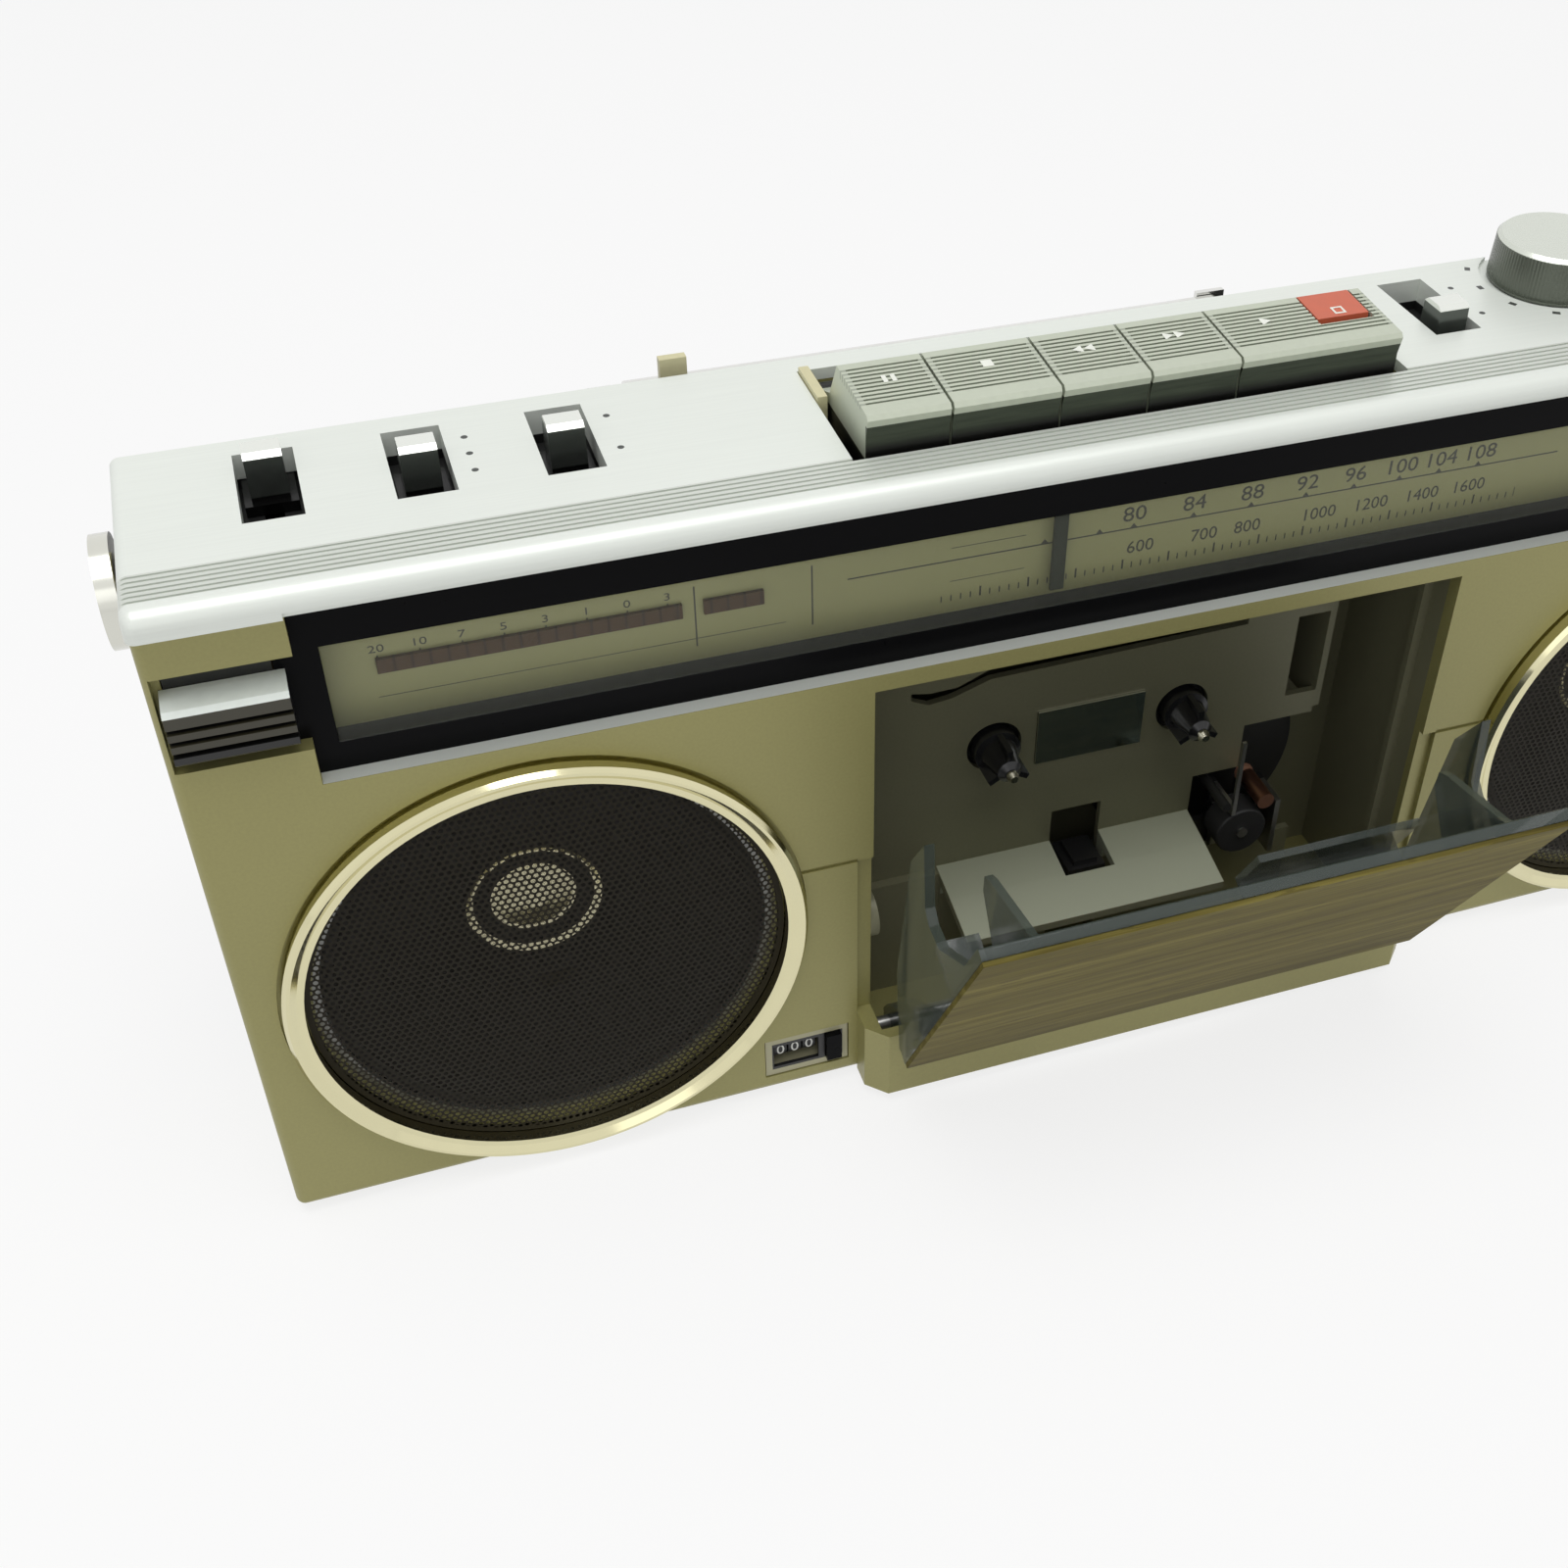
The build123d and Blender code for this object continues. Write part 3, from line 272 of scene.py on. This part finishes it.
top.feed(Base_Color=top.blend(dots, colour, (0.05, 0.055, 0.05)), Roughness=lines * 0.16 + 0.28)
top.relief(lines, 0.008)
top.cover("top_panel")

# Rear cabinet and battery lid: dark grey moulding with a spark-eroded texture.
grained("rear_moulding", (0.050, 0.050, 0.048), 0.62, 0.0, "rear_cabinet", "battery_cover",
        per_mm=1.1, depth=0.05)

# Dial frame and the button of the tape counter: smooth black mouldings.
grained("smooth_black", (0.004, 0.004, 0.0045), 0.30, 0.0, "dial_bezel", "counter_reset",
        depth=0.003, Specular_IOR_Level=0.05)

# Dial window: thin clear acrylic, pressed into the frame from the front.
window = Finish("clear_window", (0.55, 0.57, 0.50), 0.06, 0.0, Alpha=0.05)
window.relief(window.noise(0.05, 1.0), 0.02)
window.cover("dial_lens")

# Scale plate: pale olive paint with printed lines, ticks and numbers. The rows
# are the FM band above and the AM band below, with a fine log scale under them.
# A line is given by its heights and its ends, and a row of ticks by its pitch, a
# tick's half width in pitches, its start, its heights and its ends.
SCALE_OLIVE = (0.325, 0.325, 0.140)
PRINT_DARK = (0.045, 0.045, 0.030)
FM_NUMBERS = {"80": -8.0, "84": 4.2, "88": 16.2, "92": 27.8, "96": 38.1, "100": 48.1,
              "104": 56.8, "108": 65.6}
AM_NUMBERS = {"600": -6.2, "700": 7.0, "800": 16.1, "1000": 31.4, "1200": 42.8, "1400": 54.1,
              "1600": 64.6}
LEVEL_NUMBERS = ("20", "10", "7", "5", "3", "1", "0", "3")
FM_HEIGHT, AM_HEIGHT, LEVEL_HEIGHT = 124.7, 117.4, 124.8
LEVEL_START, LEVEL_PITCH = -145.0, 7.0
SCALE_LINES = ((121.6, 121.9, -63.5, 84.0), (124.3, 124.45, -44.0, -29.5),
               (117.2, 117.35, -44.0, -29.5), (113.4, 126.0, -91.4, -91.1),
               (113.4, 126.0, -70.2, -69.9), (122.0, 122.15, -145.0, -96.0),
               (115.0, 115.15, -146.0, -75.0))
TICK_ROWS = ((1.9, 0.07, 0.0, 113.0, 114.3, -46.0, 76.0),
             (9.5, 0.02, 0.0, 113.0, 115.1, -46.0, 76.0),
             (LEVEL_PITCH, 0.02, LEVEL_START, 122.0, 123.5, -146.0, -95.0))
PLAIN_WEDGES = (-25.8, -14.9)
WEDGE_FOOT, WEDGE_HALF = 121.8, 0.75
plate = grained("scale_print", SCALE_OLIVE, 0.5, 0.0, per_mm=1.2, depth=0.003)
x, z = plate.x, plate.z
marks = [z.within(low, high) * x.within(left, far) for low, high, left, far in SCALE_LINES]
for pitch, share, start, low, high, left, far in TICK_ROWS:
    step = (x - start) / pitch
    marks.append((abs(step - step.round()) < share) * x.within(left, far) * z.within(low, high))
rise = z - WEDGE_FOOT
for spot in (*PLAIN_WEDGES, *FM_NUMBERS.values()):
    wedge = abs(x - spot) < WEDGE_HALF - rise * WEDGE_HALF
    marks.append(wedge * rise.within(0.0, 1.0))
lines = marks[0]
for mark in marks[1:]:
    lines = lines.most(mark)
plate.feed(Base_Color=plate.blend(lines, plate.base, PRINT_DARK))
plate.cover("dial_plate")


def only(piece):
    """Select one piece alone and make it the active one."""
    bpy.ops.object.select_all(action="DESELECT")
    piece.select_set(True)
    bpy.context.view_layer.objects.active = piece


def figures(words, place, height, wide):
    """Printed figures as a thin mesh, centred on a place given in the part's millimetres.

    A figure is about 0.7 of its font size tall, so its height is divided by 700."""
    bpy.ops.object.select_all(action="DESELECT")
    bpy.ops.object.text_add()
    text = bpy.context.active_object
    text.data.body = words
    text.data.align_x = "CENTER"
    text.data.align_y = "CENTER"
    text.data.resolution_u = 3
    text.data.size = height / 700
    text.data.extrude = 0.00002
    only(text)
    bpy.ops.object.convert(target="MESH")
    text = bpy.context.active_object
    text.scale = (wide, 1, 1)
    text.rotation_euler = (math.radians(90), 0, 0)
    text.location = (place[0] / 1000, (place[1] + DEPTH_SHIFT) / 1000, place[2] / 1000)
    bpy.ops.object.transform_apply(location=True, rotation=True, scale=True)
    return text


def joined(pieces, name, finish, body):
    """Join pieces into one, give it its finish, and let it ride on a body."""
    bpy.ops.object.select_all(action="DESELECT")
    for piece in pieces:
        piece.select_set(True)
    bpy.context.view_layer.objects.active = pieces[0]
    if len(pieces) > 1:
        bpy.ops.object.join()
    whole = bpy.context.active_object
    whole.name = name
    whole.data.name = name
    whole.data.materials.clear()
    whole.data.materials.append(finish.material)
    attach(whole, body)
    return whole


INK_FACE = -31.02
print_ink = grained("dial_ink", PRINT_DARK, 0.5, 0.0)
row = [figures(words, (x, INK_FACE, FM_HEIGHT), 3.1, 1.12) for words, x in FM_NUMBERS.items()]
row += [figures(words, (x, INK_FACE, AM_HEIGHT), 2.6, 1.02) for words, x in AM_NUMBERS.items()]
row += [figures(words, (LEVEL_START + LEVEL_PITCH * i, INK_FACE, LEVEL_HEIGHT), 1.5, 1.3)
        for i, words in enumerate(LEVEL_NUMBERS)]
joined(row, "dial_figures", print_ink, "cabinet")

# Level meter and tuning lamp: dark red film over small lamps. The film's strip
# has a row of segments.
SEGMENT_LENGTH = 3.0
meter = grained("meter_film", (0.075, 0.040, 0.020), 0.22, 0.0, depth=0.003,
                Specular_IOR_Level=0.1)
step = meter.x / SEGMENT_LENGTH
gap = (abs(step - step.round()) > 0.42) * 0.6
meter.feed(Base_Color=meter.blend(gap, meter.base, (0.02, 0.012, 0.01)))
meter.cover("level_meter")

# Pointer: dark moulding on a slide, hooked over the scale plate.
grained("pointer_dark", (0.020, 0.025, 0.015), 0.42, 0.0, "dial_pointer", Specular_IOR_Level=0.1)

# Microphone grilles: a plated bar with fins, clipped into a black back plate.
# Only the bar's top keeps the plating's colour; the fins' front edges are painted
# dark olive and their other faces near black as painted shade, and the back plate
# between them is black.
FIN_HEIGHTS = ((120.0, 121.5), (122.3, 123.8), (124.6, 127.0))
FIN_FRONT = -42.3
BAR_TOP, BAR_BACK = 126.9, -36.9
fins = grained("mic_plating", (0.86, 0.92, 0.87), 0.30, 0.0, per_mm=0.5, depth=0.004)
depth = fins.y - DEPTH_SHIFT
top_face = (fins.z > BAR_TOP) * (depth < BAR_BACK)
first, second, third = (fins.z.within(low, high) for low, high in FIN_HEIGHTS)
# The fins' front edges are painted dark olive and the rest below the top near black, as painted
# shade.
fin_front_shade = first.most(second).most(third) * (depth < FIN_FRONT)
colour = fins.blend(fin_front_shade, (0.010, 0.010, 0.009), (0.042, 0.038, 0.022))
fins.feed(Base_Color=fins.blend(top_face, colour, fins.base))
fins.cover("mic_grilles")

# Speaker trim rings: pressed brass sheet, chromed, with a warm cast.
grained("warm_chrome", (0.68, 0.64, 0.41), 0.10, 1.0, "speaker_ring_left", "speaker_ring_right",
        per_mm=0.2, depth=0.01, spread=0.03)

# Speaker grilles: thin perforated steel sheet, painted dark brown, with round
# holes in staggered rows that show the cone behind. Inside its edge only the
# front skin of the solid is drawn, so that its back doesn't hide the cone.
SPEAKER_X, SPEAKER_Z = 124.6, 52.8
HOLE_PITCH = 1.35
HOLE_RADIUS = 0.46
ROW_PITCH = HOLE_PITCH * 0.866
MESH_RADIUS = 44.0
MESH_CROWN, MESH_FALL = -40.9, 0.030
for side, name in ((-1, "speaker_grille_left"), (1, "speaker_grille_right")):
    grille = grained(name.replace("speaker_grille", "perforated_steel"), (0.020, 0.017, 0.011),
                     0.42, 0.2, depth=0.01, Specular_IOR_Level=0.10)
    rank = (grille.z / ROW_PITCH).round()
    column = grille.x / HOLE_PITCH + (rank % 2) * 0.5
    off_x = (column - column.round()) * HOLE_PITCH
    off_z = grille.z - rank * ROW_PITCH
    across = grille.x - side * SPEAKER_X
    rise = grille.z - SPEAKER_Z
    reach = (across * across + rise * rise).root()
    hole = (off_x * off_x + off_z * off_z) < HOLE_RADIUS ** 2
    behind = (grille.y - DEPTH_SHIFT) > reach * MESH_FALL + MESH_CROWN
    grille.feed(Alpha=1 - hole.most(behind) * (reach < MESH_RADIUS))
    grille.cover(name)

# Speaker frames and cones: pressed steel baskets, and black paper cones with a
# plated dust cap and a plated ring round it that catch the light through the
# grille. The door's shaft and the motor are of the same steel as the baskets.
CAP_RADIUS = 8.4
CAP_RING = (11.9, 13.3)
grained("zinc_plate", (0.42, 0.42, 0.40), 0.36, 0.9, "speaker_frame_left",
        "speaker_frame_right", "door_shaft", "deck_motor")
grained("blackened_steel", (0.035, 0.035, 0.034), 0.42, 0.6, "flywheel")
for side, name in ((-1, "speaker_cone_left"), (1, "speaker_cone_right")):
    cone = grained(name.replace("speaker_cone", "paper_cone"), (0.016, 0.014, 0.011), 0.8, 0.0,
                   per_mm=0.6, depth=0.1)
    across = cone.x - side * SPEAKER_X
    rise = cone.z - SPEAKER_Z
    reach = (across * across + rise * rise).root()
    plated = (reach < CAP_RADIUS).most(reach.within(*CAP_RING))
    cone.feed(Base_Color=cone.blend(plated, cone.base, (0.75, 0.70, 0.48)), Metallic=plated,
              Roughness=0.8 - plated * 0.55)
    cone.cover(name)

# Cassette well and deck plate: a satin brown-grey moulding, and a plate painted
# to match behind it. The top of the ledge that the cassette stands on is painted
# paler, as painted light where it faces up.
WELL_BROWN = (0.205, 0.200, 0.125)
STEP_ENDS = (-40.1, 19.0)
STEP_DEPTHS = (-39.4, -20.1)
STEP_HEIGHTS = (31.0, 36.9)
well = grained("well_moulding", WELL_BROWN, 0.46, 0.1, "cassette_well", per_mm=1.4)
# The top of the ledge is painted paler, as painted light where it faces up.
lit_step_top = (well.x.within(*STEP_ENDS) * (well.y - DEPTH_SHIFT).within(*STEP_DEPTHS)
            * well.z.within(*STEP_HEIGHTS))
well.feed(Base_Color=well.blend(lit_step_top, well.base, (0.40, 0.42, 0.31)))
grained("deck_paint", WELL_BROWN, 0.42, 0.25, "deck_plate", per_mm=1.6, spread=0.09)

# Tape mirror: polished foil in a shallow frame on the deck plate.
grained("mirror_foil", (0.80, 0.82, 0.78), 0.05, 1.0, "deck_mirror", per_mm=0.03, depth=0.3,
        spread=0.02)

# Reel spindles, pinch roller, belt, feet and pulley: black plastic with a small
# bright steel tip on each spindle, black rubber, and a turned brass pulley.
TIP_BACK = -29.9
spindle = grained("spindle_black", (0.010, 0.010, 0.011), 0.24, 0.0, depth=0.006)
tip = (spindle.y - DEPTH_SHIFT) < TIP_BACK
spindle.feed(Base_Color=spindle.blend(tip, spindle.base, (0.55, 0.53, 0.42)), Metallic=tip)
spindle.cover("supply_spindle", "takeup_spindle")
grained("rubber", (0.014, 0.014, 0.014), 0.62, 0.0, "pinch_roller", "drive_belt", "feet")
grained("turned_brass", (0.50, 0.33, 0.12), 0.28, 1.0, "motor_pulley")

# Head carriage: plated steel with a black head block, a blackened leaf behind
# and a copper-coloured screw at its right.
HEAD_ENDS, HEAD_HEIGHTS = (-13.0, -3.5), (24.0, 40.0)
SCREW_X, SCREW_Z, SCREW_RADIUS = 33.6, 41.7, math.sqrt(5.0)
LEAF_FRONT, LEAF_ENDS = -19.0, (20.0, 46.0)
carriage = grained("carriage_plating", (0.40, 0.40, 0.37), 0.34, 0.9)
head = carriage.x.within(*HEAD_ENDS) * carriage.z.within(*HEAD_HEIGHTS)
across = carriage.x - SCREW_X
rise = carriage.z - SCREW_Z
copper = (across * across + rise * rise) < SCREW_RADIUS ** 2
leaf = ((carriage.y - DEPTH_SHIFT) > LEAF_FRONT) * carriage.x.within(*LEAF_ENDS)
dark = head.most(leaf)
colour = carriage.blend(dark, carriage.base, (0.012, 0.012, 0.012))
carriage.feed(Base_Color=carriage.blend(copper, colour, (0.40, 0.20, 0.13)), Metallic=1 - dark)
carriage.cover("head_carriage")

# Cassette door: smoke-tinted clear moulding with cheeks, gussets and shelf.
smoke = Finish("smoke_acrylic", (0.070, 0.090, 0.080), 0.10, 0.0, Alpha=0.60, Coat_Weight=0.3)
smoke.feed(Roughness=smoke.noise(0.15, 3.0) * 0.12 + 0.05)
smoke.relief(smoke.noise(0.2, 2.0), 0.02)
smoke.cover("cassette_door")

# Front of the door: printed wood-grain film under clear lacquer, with the grain
# running along the door.
WOOD_LIGHT = (0.226, 0.190, 0.056)
WOOD_MIDDLE = (0.157, 0.130, 0.036)
WOOD_DARK = (0.092, 0.073, 0.020)
WOOD_STOPS = ((0.36, WOOD_DARK), (0.52, WOOD_MIDDLE), (0.66, WOOD_LIGHT))
wood = Finish("wood_film", WOOD_LIGHT, 0.45, 0.0, Specular_IOR_Level=0.01)
broad = wood.noise(0.35, 4.0, (0.03, 1, 1))
narrow = wood.noise(2.4, 3.0, (0.03, 1, 1))
flecks = wood.noise(1.1, 2.0, (0.10, 1, 1))
shade = broad * 0.55 + narrow * 0.45
colour = wood.node("ShaderNodeValToRGB", {"stops": WOOD_STOPS}, {0: shade})
colour = wood.blend((flecks > 0.64) * 0.5, colour, (0.075, 0.062, 0.024))
wood.feed(Base_Color=colour, Roughness=narrow * 0.2 + 0.30)
wood.relief(narrow, 0.01)
wood.cover("door_wood_plate")

# Piano keys: satin plated caps. Dark lines painted along the ribbed field on top
# are painted shade in its grooves. The front face is brushed dark, and painted
# shade takes it to black at its foot; below the top panel the key is painted black
# as painted shade.
KEY_BODIES = {"key_pause": "pause_key", "key_stop": "stop_key", "key_rewind": "rewind_key",
              "key_forward": "forward_key", "key_play": "play_key", "key_record": "record_key"}
KEY_TOP = 147.2
RIB_PITCH, RIB_START, RIB_HALF = 1.2, -29.4, 0.22
RIB_DEPTHS, RIB_LOW = (-29.7, -18.3), KEY_TOP + 7.0
FRONT_FACE, FRONT_HIGH = -32.3, KEY_TOP + 5.4
FOOT_HIGH, FOOT_SHARPNESS = KEY_TOP + 2.6, 0.6
SKIRT_HIGH = KEY_TOP - 1.0
KEY_SHADE_BLACK = (0.008, 0.008, 0.007)
keys = grained("key_plating", (0.54, 0.58, 0.47), 0.34, 0.35, per_mm=0.9, spread=0.05, depth=0.006)
key_y = keys.y - DEPTH_SHIFT
# Dark lines along the ribs are painted shade in the grooves between them.
rib = (key_y - RIB_START) / RIB_PITCH
rib_groove_shade = ((abs(rib - rib.round()) < RIB_HALF) * key_y.within(*RIB_DEPTHS)
            * (keys.z > RIB_LOW))
brushed = keys.noise(1.6, 3.0, (0.06, 1, 1))
front = (key_y < FRONT_FACE) * (keys.z < FRONT_HIGH)
colour = keys.blend(rib_groove_shade * 0.55, keys.base, (0.17, 0.19, 0.15))
front_dark_and_shade = keys.blend(brushed, (0.022, 0.030, 0.018), (0.070, 0.086, 0.056))
# The front face is painted to black towards its foot, and the key below the panel black, as
# painted shade.
foot = (FOOT_HIGH - keys.z) * FOOT_SHARPNESS
front_dark_and_shade = keys.blend(foot.most(0.0).least(1.0), front_dark_and_shade, KEY_SHADE_BLACK)
colour = keys.blend(front, colour, front_dark_and_shade)
keys.feed(Base_Color=keys.blend(keys.z < SKIRT_HIGH, colour, KEY_SHADE_BLACK))
keys.cover("key_pause", "key_stop", "key_rewind", "key_forward", "key_play")

# Record key: orange-red moulding let into the wide play key.
grained("record_red", (0.60, 0.125, 0.060), 0.36, 0.0, "key_record", per_mm=0.5)

# Key symbols: thin pale prints on the ribbed fields, with the usual signs for
# pause, stop, rewind, forward, play and record.
SYMBOL_Y = -22.8
FIELD_FRONT_Y, FIELD_FRONT_Z = -32.8, KEY_TOP + 7.5
FIELD_RISE, FIELD_RUN = 1.1, 16.2
SLOPE = math.atan2(FIELD_RISE, FIELD_RUN)
PRINT_LIFT = 0.02
symbol_ink = grained("symbol_ink", (0.86, 0.88, 0.80), 0.5, 0.0)


def bar(x, wide, tall, y=0.0):
    """A flat bar at the origin's height, in millimetres."""
    bpy.ops.object.select_all(action="DESELECT")
    bpy.ops.mesh.primitive_plane_add(size=0.001, location=(x / 1000, y / 1000, 0))
    made = bpy.context.active_object
    made.scale = (wide, tall, 1)
    bpy.ops.object.transform_apply(location=True, rotation=True, scale=True)
    return made


def arrow(x, points_right, tall):
    """A flat triangle as tall as is asked: its circle's radius is tall over root 3."""
    bpy.ops.object.select_all(action="DESELECT")
    bpy.ops.mesh.primitive_circle_add(vertices=3, radius=tall / 1732, fill_type="NGON",
                                      rotation=(0, 0, math.radians(-90 if points_right else 90)),
                                      location=(x / 1000, 0, 0))
    made = bpy.context.active_object
    bpy.ops.object.transform_apply(location=True, rotation=True, scale=True)
    return made


def print_symbol(parts, key, x):
    """Lay a sign on a key's sloping field, with a print's thickness, and let it ride there."""
    sign = joined(parts, key.replace("key_", "sign_"), symbol_ink, KEY_BODIES[key])
    only(sign)
    slab = sign.modifiers.new("thickness", "SOLIDIFY")
    slab.thickness = 0.00006
    slab.offset = 1.0
    bpy.ops.object.modifier_apply(modifier="thickness")
    height = FIELD_FRONT_Z + (SYMBOL_Y - FIELD_FRONT_Y) * FIELD_RISE / FIELD_RUN + PRINT_LIFT
    sign.rotation_euler = (SLOPE, 0, 0)
    sign.location = (x / 1000, (SYMBOL_Y + DEPTH_SHIFT) / 1000, height / 1000)
    bpy.ops.object.transform_apply(location=True, rotation=True, scale=True)


print_symbol([bar(-0.9, 0.8, 2.2), bar(0.7, 0.8, 2.2)], "key_pause", -53.3)
print_symbol([bar(0, 2.0, 2.0)], "key_stop", -35.5)
print_symbol([arrow(-1.2, False, 2.2), arrow(1.0, False, 2.2)], "key_rewind", -17.1)
print_symbol([arrow(-1.2, True, 2.2), arrow(1.0, True, 2.2)], "key_forward", -0.1)
print_symbol([arrow(0, True, 2.4)], "key_play", 18.0)
print_symbol([bar(-0.95, 0.4, 2.3), bar(0.95, 0.4, 2.3), bar(0, 1.5, 0.4, 0.95),
              bar(0, 1.5, 0.4, -0.95)], "key_record", 33.1)

# Key frame and antenna clip: cream mouldings that hold the keys' rod at its ends
# and the tip of the antenna.
grained("cream_moulding", (0.66, 0.62, 0.38), 0.46, 0.0, "key_frame", "antenna_clip")

# Slide switches: plated knobs, painted bright on top as painted light, and painted
# dark on their sides and black at their feet as painted shade.
CROWN_LOW = KEY_TOP + 3.1
SWITCH_SHADE_TOP = 143.6
slider = grained("switch_plating", (0.40, 0.42, 0.38), 0.22, 0.75, per_mm=0.6, depth=0.005)
# The crown is painted bright as painted light; the sides dark and the foot black as painted shade.
lit_crown = slider.z > CROWN_LOW
switch_foot_shade = slider.z < SWITCH_SHADE_TOP
colour = slider.blend(lit_crown, (0.10, 0.11, 0.10), (0.80, 0.82, 0.77))
slider.feed(Base_Color=slider.blend(switch_foot_shade, colour, (0.010, 0.010, 0.010)))
slider.cover("switch_meter", "switch_mode", "switch_source", "switch_band")

# Volume knob: turned and plated, with spun rings on top and a finely grooved
# side that is painted dark as painted shade. The tuning knob on the right side is
# made the same way.
VOLUME_CROWN = KEY_TOP + 7.9
TUNING_Y, TUNING_Z, TUNING_CROWN = -22.0, 96.0, 185.6
GROOVES_PER_RADIAN = 110
RINGS_PER_MM = 4.0
for name in ("volume_knob", "tuning_knob"):
    knob = grained(name + "_plating", (0.66, 0.69, 0.62), 0.28, 0.6,
                   depth=0.001, spread=0.015, gloss=0.02)
    if name == "volume_knob":
        first, second = knob.x - VOLUME_X, knob.y - (VOLUME_Y + DEPTH_SHIFT)
        grooved_shaded_side = knob.z < VOLUME_CROWN
    else:
        first, second = knob.y - (TUNING_Y + DEPTH_SHIFT), knob.z - TUNING_Z
        grooved_shaded_side = knob.x < TUNING_CROWN
    reach = (first * first + second * second).root()
    flutes = (second.angle(first) * GROOVES_PER_RADIAN).sine() * grooved_shaded_side
    rings = (reach * RINGS_PER_MM).sine() * (1 - grooved_shaded_side)
    # The grooved side is painted dark, as painted shade.
    knob.feed(Base_Color=knob.blend(grooved_shaded_side * 0.9, knob.base, (0.065, 0.075, 0.055)))
    knob.relief(flutes * 0.5 + rings * 0.05, 0.05)
    knob.cover(name)

# Handle: plated steel arms at the sides and a black grip bar with a leather-like
# grain.
grained("arm_plating", (0.66, 0.66, 0.60), 0.16, 1.0, "handle_arms",
        per_mm=0.3, depth=0.001, spread=0.02, gloss=0.03)
grip = grained("grip_moulding", (0.018, 0.018, 0.018), 0.55, 0.0, per_mm=0.9)
cells = grip.node("ShaderNodeTexVoronoi", {}, {"Vector": grip.place, "Scale": 0.8})
grip.relief(cells, 0.15)
grip.cover("handle_grip")

# Antenna: plated brass tubes.
grained("antenna_plating", (0.74, 0.74, 0.71), 0.12, 1.0, "antenna_swivel", "antenna_tube",
        "antenna_tip", per_mm=0.2, depth=0.004)

# Tape counter: black frame with a silver surround, and number wheels with white
# figures. The figures turn with the wheels.
OPENING_ENDS, OPENING_HEIGHTS = (-82.9, -67.6), (8.1, 15.6)
counter = grained("counter_moulding", (0.014, 0.014, 0.014), 0.35, 0.0)
edge = 1 - counter.x.within(*OPENING_ENDS) * counter.z.within(*OPENING_HEIGHTS)
counter.feed(Base_Color=counter.blend(edge, counter.base, (0.44, 0.42, 0.27)))
counter.cover("counter_frame")
grained("wheel_black", (0.02, 0.02, 0.02), 0.5, 0.0, "counter_wheels")
wheel_ink = grained("wheel_ink", (0.85, 0.86, 0.82), 0.5, 0.0)
WHEEL_X, WHEEL_PITCH, WHEEL_FRONT, WHEEL_Z = -80.65, 3.1, -38.12, 11.8
digits = [figures("0", (WHEEL_X + WHEEL_PITCH * i, WHEEL_FRONT, WHEEL_Z), 2.6, 1.0)
          for i in range(3)]
joined(digits, "counter_figures", wheel_ink, "counter_body")

# Back and inside: sockets, screws, circuit board and transformer.
grained("socket_black", (0.018, 0.018, 0.018), 0.42, 0.0, "ac_inlet", "jack_sockets")
grained("screw_steel", (0.16, 0.16, 0.15), 0.3, 0.9, "case_screws")
BOARD_FACE = 106.7
board = grained("board_laminate", (0.16, 0.085, 0.025), 0.55, 0.0)
parts_on_top = board.z > BOARD_FACE
board.feed(Base_Color=board.blend(parts_on_top, board.base, (0.03, 0.035, 0.05)))
board.cover("circuit_board")
grained("transformer_core", (0.055, 0.045, 0.035), 0.5, 0.5, "power_transformer")

# Floor and backdrop: a plain white floor that keeps the set's shadow, under a
# white sky. Rays from the camera, from gloss and through glass see both as
# white, and the rest of the light from the sky is weaker.
FLOOR_SIDE = 60.0
FLOOR_GLOW = 0.80
SKY_LIGHT = 0.42
WHITE = (1, 1, 1, 1)
bpy.ops.object.select_all(action="DESELECT")
bpy.ops.mesh.primitive_plane_add(size=FLOOR_SIDE, location=(0, 0, 0))
floor = bpy.context.active_object
floor.name = "floor"
ground = Finish("white_floor", (0.90, 0.90, 0.90), 0.9)


def seen(tree):
    """Share of a surface's look that comes from plain white, by the kind of ray."""
    path = tree.nodes.new("ShaderNodeLightPath")
    total = path.outputs["Is Camera Ray"]
    for kind in ("Is Glossy Ray", "Is Transmission Ray"):
        add = tree.nodes.new("ShaderNodeMath")
        add.operation = "ADD"
        add.use_clamp = True
        tree.links.new(total, add.inputs[0])
        tree.links.new(path.outputs[kind], add.inputs[1])
        total = add.outputs[0]
    return total


glow = ground.node("ShaderNodeEmission", {}, {"Color": WHITE, "Strength": 1.0})
share = Reading(ground, seen(ground.tree)) * FLOOR_GLOW
sweep = ground.node("ShaderNodeMixShader", {}, {
    0: share, 1: Reading(ground, ground.shader.outputs[0]), 2: glow})
ground.tree.links.new(sweep.socket, ground.tree.nodes["Material Output"].inputs["Surface"])
floor.data.materials.append(ground.material)
floor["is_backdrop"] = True
world = bpy.data.worlds.new("studio")
scene.world = world
world.use_nodes = True
air = world.node_tree
dim = air.nodes["Background"]
dim.inputs["Color"].default_value = WHITE
dim.inputs["Strength"].default_value = SKY_LIGHT
white = air.nodes.new("ShaderNodeBackground")
white.inputs["Color"].default_value = WHITE
white.inputs["Strength"].default_value = 1.0
both = air.nodes.new("ShaderNodeMixShader")
air.links.new(seen(air), both.inputs[0])
air.links.new(dim.outputs[0], both.inputs[1])
air.links.new(white.outputs[0], both.inputs[2])
air.links.new(both.outputs[0], air.nodes["World Output"].inputs["Surface"])

low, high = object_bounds()
